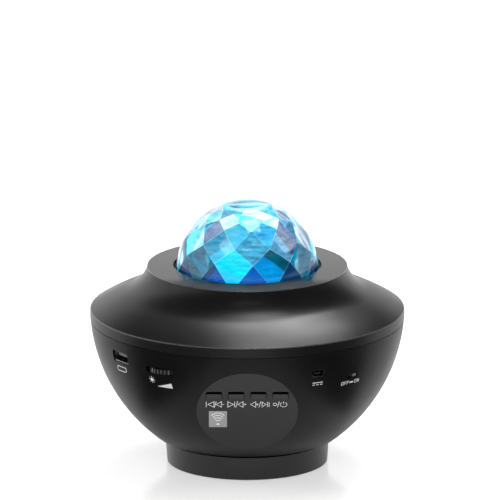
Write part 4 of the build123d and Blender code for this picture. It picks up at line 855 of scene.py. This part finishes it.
# %% Finish the boards
board_lacquer = finish("board_lacquer", (0.02, 0.16, 0.06), 0.3, Coat_Weight=0.4)
uneven_colour(board_lacquer, 4 * mm, (0.015, 0.12, 0.045), (0.04, 0.24, 0.09), (0.15, 1.5, 1.0))
grain(board_lacquer, 1.2 * mm, 0.02 * mm, (1.5, 0.15, 1.0))
capacitor_sleeve = finish("capacitor_sleeve", (0.02, 0.025, 0.06), 0.25, Coat_Weight=0.3)
uneven_gloss(capacitor_sleeve, 2 * mm, 0.2, 0.35)
receiver_resin = finish("receiver_resin", (0.015, 0.01, 0.015), 0.12, Coat_Weight=0.5)
uneven_gloss(receiver_resin, 2 * mm, 0.08, 0.18)
header_nylon = finish("header_nylon", (0.75, 0.74, 0.7), 0.5)
uneven_colour(header_nylon, 5 * mm, (0.72, 0.71, 0.67), (0.78, 0.77, 0.73))
dress(board_lacquer, "main_board", "button_board")
dress(capacitor_sleeve, "capacitors")
dress(receiver_resin, "remote_receiver")
dress(header_nylon, "wire_headers")

# %% [markdown]
# ## Metals
# Screws are zinc plated, which leaves a cloudy, slightly blue grey. The motor is nickel plated
# and drawn, so its lines run along its axis. The laser barrel is turned brass, with rings from the
# tool. The heat sink and the lamp board are plain aluminium.

# %% Finish the metals
screw_names = (
    "foot_screws",
    "case_screws",
    "deck_screws",
    "retainer_screws",
    "heat_sink_screws",
    "motor_screws",
    "board_screws",
    "button_board_screws",
    "speaker_screws",
    "laser_set_screw",
)
zinc = finish("zinc", (0.5, 0.51, 0.53), 0.38, Metallic=1.0)
uneven_colour(zinc, 1.5 * mm, (0.44, 0.45, 0.47), (0.56, 0.57, 0.59))
nickel = finish("nickel", (0.62, 0.61, 0.59), 0.3, Metallic=1.0)
uneven_gloss(nickel, 1 * mm, 0.24, 0.4, (2.0, 2.0, 0.15))
brass = finish("brass", (0.72, 0.52, 0.22), 0.3, Metallic=1.0)
uneven_gloss(brass, 0.4 * mm, 0.2, 0.4, (0.2, 0.2, 2.0))
aluminium = finish("aluminium", (0.72, 0.73, 0.74), 0.42, Metallic=1.0)
uneven_gloss(aluminium, 0.8 * mm, 0.36, 0.5, (2.0, 0.1, 2.0))
dress(zinc, *screw_names)
dress(nickel, "motor_can", "motor_gearbox", "motor_shaft")
dress(brass, "laser_barrel")
dress(aluminium, "heat_sink", "led_board")

# %% [markdown]
# ## Speaker and rubber
# The speaker lies behind the slots of the foot: a dark plated basket, a pressed paper cone and a
# rubber roll round it. The pads under the foot are soft rubber with a dusty bloom.

# %% Finish the speaker and the pads
dark_plating = finish("dark_plating", (0.1, 0.1, 0.105), 0.4, Metallic=0.8)
uneven_gloss(dark_plating, 3 * mm, 0.32, 0.48)
cone_paper = finish("cone_paper", (0.03, 0.03, 0.031), 0.85, Sheen_Weight=0.2)
grain(cone_paper, 0.8 * mm, 0.05 * mm)
pad_rubber = finish("pad_rubber", (0.022, 0.022, 0.023), 0.75)
grain(pad_rubber, 0.5 * mm, 0.02 * mm)
uneven_colour(pad_rubber, 3 * mm, (0.018, 0.018, 0.019), (0.035, 0.035, 0.036))
dress(dark_plating, "speaker_basket", "speaker_magnet")
dress(cone_paper, "speaker_cone")
dress(pad_rubber, "foot_pads", "speaker_gasket", "speaker_surround")

# %% [markdown]
# ## Printed signs
# The signs are white ink, printed with a pad, so they are flat lines of one width with no thickness
# to speak of. An image on the wall would need a map of it, and short lines are as easy to draw.
# Each line is a strip between two rails, drawn in millimetres to the right and up.

# %% Make strips for the signs
ink_proud = 0.03 * mm
ink_step = 0.6
sharpest_mitre = 0.35
arc_step = 12
least_steps = 4


def spread(points, closed=False):
    """Points of a line with more points between, no further apart than the step."""
    ends = points[1:] + points[:1] if closed else points[1:]
    dense = []
    for (x0, y0), (x1, y1) in zip(points, ends):
        count = max(1, round(hypot(x1 - x0, y1 - y0) / ink_step))
        dense += [(x0 + (x1 - x0) * i / count, y0 + (y1 - y0) * i / count) for i in range(count)]
    return dense if closed else dense + points[-1:]


def line(points, width, closed=False):
    """Strip of a width along a line, with its corners mitred."""
    dense = [Vector(point) for point in spread(points, closed)]
    left, right = [], []
    for i, point in enumerate(dense):
        before = dense[i - 1] if i or closed else None
        after = dense[(i + 1) % len(dense)] if i + 1 < len(dense) or closed else None
        come = (point - before).normalized() if before else (after - point).normalized()
        go = (after - point).normalized() if after else come
        mitre = (come + go).normalized()
        side = Vector((-mitre.y, mitre.x)) * (width / 2 / max(sharpest_mitre, mitre.dot(come)))
        left.append(point + side)
        right.append(point - side)
    return left, right, closed


def arc(x, y, radius, first, last):
    """Points of an arc, from one direction to another in degrees."""
    count = max(least_steps, round(abs(last - first) / arc_step))
    turns = [radians(first + (last - first) * i / count) for i in range(count + 1)]
    return [(x + radius * cos(turn), y + radius * sin(turn)) for turn in turns]


def filled(lower, upper):
    """Strip between two lines with as many points each."""
    return [Vector(point) for point in upper], [Vector(point) for point in lower], False


print("ink stands", ink_proud, "m proud")

# %% [markdown]
# A sign is its strips, laid on a wall by a place function. Each strip is made into a very thin
# closed plate that stands a few hundredths of a millimetre proud of the wall. Ink from a pad is a
# little uneven, so its colour wanders.

# %% Make a sign on a wall
white_ink = finish("white_ink", (0.72, 0.72, 0.71), 0.55)
uneven_colour(white_ink, 0.5 * mm, (0.62, 0.62, 0.61), (0.8, 0.8, 0.79))
bright_ink = finish("bright_ink", (0.92, 0.92, 0.91), 0.5)
uneven_colour(bright_ink, 0.5 * mm, (0.84, 0.84, 0.83), (0.95, 0.95, 0.94))
grey_ink = finish("grey_ink", (0.42, 0.42, 0.425), 0.5)
uneven_colour(grey_ink, 0.6 * mm, (0.33, 0.33, 0.335), (0.4, 0.4, 0.405))


def print_sign(name, strips, place, ink):
    """Thin closed plates of ink, one for each strip, laid on a wall by a place function."""
    verts, faces = [], []
    for left, right, closed in strips:
        start = len(verts)
        count = len(left)
        for a, b in zip(left, right):
            for point, lift in ((a, ink_proud), (b, ink_proud), (b, -ink_proud), (a, -ink_proud)):
                verts.append(place(point.x * mm, point.y * mm, lift))
        for i in range(count if closed else count - 1):
            here = [start + 4 * i + k for k in range(4)]
            there = [start + 4 * ((i + 1) % count) + k for k in range(4)]
            for k in range(4):
                faces.append((here[k], here[(k + 1) % 4], there[(k + 1) % 4], there[k]))
        if not closed:
            faces.append(tuple(start + k for k in (3, 2, 1, 0)))
            faces.append(tuple(start + 4 * (count - 1) + k for k in range(4)))
    mesh = bpy.data.meshes.new(name)
    mesh.from_pydata(verts, [], faces)
    mesh.materials.append(ink)
    sign = bpy.data.objects.new(name, mesh)
    scene.collection.objects.link(sign)
    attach(sign, "housing")
    print(name, "strips", len(strips), "faces", len(faces))


print("inks", [ink.name for ink in (white_ink, bright_ink, grey_ink)])

# %% [markdown]
# There are two walls to print on. The panel is flat, so a place on it is a sum of directions. The
# bowl is round, so each point is dropped on its surface by a ray along the wall's normal.

# %% Find places on the panel and the bowl
cast_reach = 0.2
cast_height = 0.01
button_ups = [vertex.co.dot(panel_up) for vertex in nodes["next_button"].data.vertices]
button_row_up = (min(button_ups) + max(button_ups)) / 2


def on_panel(right, up, lift):
    """Point of the panel, from the middle of the button row."""
    side = Vector((right, 0.0, 0.0))
    return side + panel_up * (button_row_up + up) + panel_out * (panel_level + lift)


def on_bowl(azimuth, height, tilt=0.0):
    """Place function round a point of the bowl, at an azimuth from the front and a height."""
    turn = radians(azimuth)
    lean = radians(tilt)
    bowl = nodes["lower_bowl"]
    away = Vector((sin(turn), -cos(turn), 0.0))
    across = Vector((cos(turn), sin(turn), 0.0))
    outside = away * cast_reach + Vector((0.0, 0.0, height))
    found, root, out, face = bowl.ray_cast(outside, -away)
    upwards = out.cross(across).normalized()
    rightwards = across * cos(lean) + upwards * sin(lean)
    upwards = upwards * cos(lean) - across * sin(lean)

    def place(right, up, lift):
        start = root + rightwards * right + upwards * up + out * cast_height
        hit, point, normal, index = bowl.ray_cast(start, -out)
        return point + out * lift

    return place


print("button row up", round(button_row_up, 5))

# %% [markdown]
# The signs of the panel say what each button does: back and softer, on and louder, mute and pause,
# power. They stand in one row under the buttons, built from triangles and strokes.

# %% Print the panel signs
sign_line = 0.37
row = -6.5
tall = 4.2
upright = 4.0
small = 3.6
slash_lean, slash_half = 0.5, 2.2
cross_half = 0.6
ring_end = 345


def triangle(x, y, width, height, towards):
    """Outline of a triangle that points left (-1) or right (1)."""
    tip = x + towards * width / 2
    back = x - towards * width / 2
    return line([(tip, y), (back, y + height / 2), (back, y - height / 2)], sign_line, True)


def slash(x, y):
    """Slanted stroke between two signs."""
    low, high = (x - slash_lean, y - slash_half), (x + slash_lean, y + slash_half)
    return line([low, high], sign_line)


def bar(x, y, height):
    """Upright stroke."""
    return line([(x, y - height / 2), (x, y + height / 2)], sign_line)


def dash(x, y, width):
    """Level stroke."""
    return line([(x - width / 2, y), (x + width / 2, y)], sign_line)


back_signs = [bar(-21.8, row, upright), triangle(-19.3, row, 3.2, tall, -1), slash(-17.0, row)]
back_signs += [triangle(-15.1, row, 2.7, tall, -1), dash(-12.9, row, 1.2)]
next_signs = [triangle(-8.9, row, 2.9, tall, 1), bar(-6.8, row, upright), slash(-5.6, row)]
next_signs += [triangle(-3.6, row, 2.7, tall, -1), dash(-1.2, row, 1.4), bar(-1.2, row, 1.4)]
mute_signs = [triangle(3.1, row, 2.7, tall, -1), slash(6.7, row)]
mute_signs += [line([(4.8, row - cross_half), (5.8, row + cross_half)], sign_line)]
mute_signs += [line([(4.8, row + cross_half), (5.8, row - cross_half)], sign_line)]
mute_signs += [triangle(8.9, row, 2.0, small, 1), bar(10.7, row, small), bar(11.6, row, small)]
power_signs = [line(arc(14.7, row, 0.9, 0, ring_end), sign_line, True), slash(16.5, row)]
power_signs += [line(arc(19.3, row - 0.1, 1.75, 125, 415), sign_line), bar(19.3, row + 1.2, 2.1)]
print_sign("back_sign", back_signs, on_panel, white_ink)
print_sign("next_sign", next_signs, on_panel, white_ink)
print_sign("mute_sign", mute_signs, on_panel, white_ink)
print_sign("power_sign", power_signs, on_panel, white_ink)

# %% [markdown]
# Under the row is a grey window with waves, which marks where the receiver looks out. The waves are
# a second layer of ink over the first, so they stand a little higher.

# %% Print the receiver window
window_left, window_right = -20.4, -10.8
window_low, window_high = -23.3, -11.5
window_parts = 8
wave_line = 0.5
wave_spread = 1.25
wave_radii = (1.3, 2.1, 2.9, 3.7)
wave_first, wave_last = 25, 155
wave_margin = 2.2
dot_radius = 0.75


def on_window(right, up, lift):
    """Point of the window's face: one layer of ink over another."""
    return on_panel(right, up, lift + ink_proud)


part_width = (window_right - window_left) / window_parts
columns = [window_left + part_width * i for i in range(window_parts + 1)]
window = filled([(x, window_low) for x in columns], [(x, window_high) for x in columns])
print_sign("receiver_window", [window], on_panel, grey_ink)

wave_x = (window_left + window_right) / 2
wave_y = window_low + wave_margin
arcs = [arc(wave_x, wave_y + wave_spread * r, r, wave_first, wave_last) for r in wave_radii]
waves = [line(points, wave_line) for points in arcs]
dot = arc(wave_x, wave_y, dot_radius, 170, 10)
waves.append(filled([(x, 2 * wave_y - y) for x, y in dot], dot))
print_sign("receiver_waves", waves, on_window, bright_ink)

# %% [markdown]
# The signs of the bowl stand under what they name. On the left these are an outline under the wide
# socket, and a sun and a wedge under the brightness wheel. The sun is a disc with short strokes as
# rays, and the wedge is a strip whose rails run apart.

# %% Print the signs on the left of the bowl
outline = 0.45
ray_line = 0.28
ray_start, ray_end = 1.45, 2.0
ray_count = 8
sun_radius = 1.05
wedge_length = 9.4
wedge_tip, wedge_rise = 0.1, 1.45
wedge_parts = 16

socket_top = [(-4.0, 0.5), (-3.1, 1.35), (4.0, 1.35)]
socket_corners = socket_top + [(-x, -y) for x, y in socket_top]
usb_sign = [line(socket_corners, outline, True)]
print_sign("usb_sign", usb_sign, on_bowl(-55.6, 62.7 * mm), white_ink)

sun_disc = arc(0, 0, sun_radius, 175, 5)
sun = [filled([(x, -y) for x, y in sun_disc], sun_disc)]
for i in range(ray_count):
    turn = radians(360.0 * i / ray_count)
    ray = [(r * cos(turn), r * sin(turn)) for r in (ray_start, ray_end)]
    sun.append(line(ray, ray_line))
print_sign("sun_sign", sun, on_bowl(-38.9, 61.6 * mm), white_ink)

wedge_steps = [i / wedge_parts for i in range(wedge_parts + 1)]
wedge_high = [(wedge_length * (s - 0.5), wedge_tip + wedge_rise * s) for s in wedge_steps]
wedge_sign = [filled([(x, -y) for x, y in wedge_high], wedge_high)]
print_sign("wedge_sign", wedge_sign, on_bowl(-33.3, 58.9 * mm, 9.0), white_ink)

# %% [markdown]
# On the right are the sign of direct current under the power inlet, and OFF and ON under the
# switch. The letters are drawn with strokes too, a little thinner ones.

# %% Print the signs on the right of the bowl
letter_line = 0.32
letter_height = 2.0
round_share = 0.36
top_share, arm_share = 0.55, 0.45
diagonal_share = 0.6
arm_level = 0.1
mark_line = 0.9


def letter_o(x, height):
    """Round letter as an ellipse of strokes."""
    ring = arc(0, 0, height, 0, ring_end)
    return line([(x + px * round_share, py / 2) for px, py in ring], letter_line, True)


def letter_f(x, height):
    """Three strokes: a stem and two arms."""
    stem = line([(x, -height / 2), (x, height / 2)], letter_line)
    top = line([(x, height / 2), (x + height * top_share, height / 2)], letter_line)
    arm = line([(x, arm_level), (x + height * arm_share, arm_level)], letter_line)
    return [stem, top, arm]


def letter_n(x, height):
    """Two stems and a diagonal, in one line."""
    wide = height * diagonal_share
    low, high = -height / 2, height / 2
    return line([(x, low), (x, high), (x + wide, low), (x + wide, high)], letter_line)


current = [line([(-3.0, 0.7), (3.0, 0.7)], outline)]
current += [line([(x - 0.7, -0.6), (x + 0.7, -0.6)], outline) for x in (-2.2, 0.0, 2.2)]
print_sign("current_sign", current, on_bowl(27.6, 61.6 * mm), white_ink)

switch_word = [letter_o(-5.9, letter_height)]
switch_word += [*letter_f(-4.5, letter_height), *letter_f(-2.7, letter_height)]
switch_word += [line([(-0.9, 0.0), (1.6, 0.0)], mark_line)]
switch_word += [letter_o(3.4, letter_height), letter_n(4.8, letter_height)]
print_sign("switch_sign", switch_word, on_bowl(43.6, 58.8 * mm), white_ink)
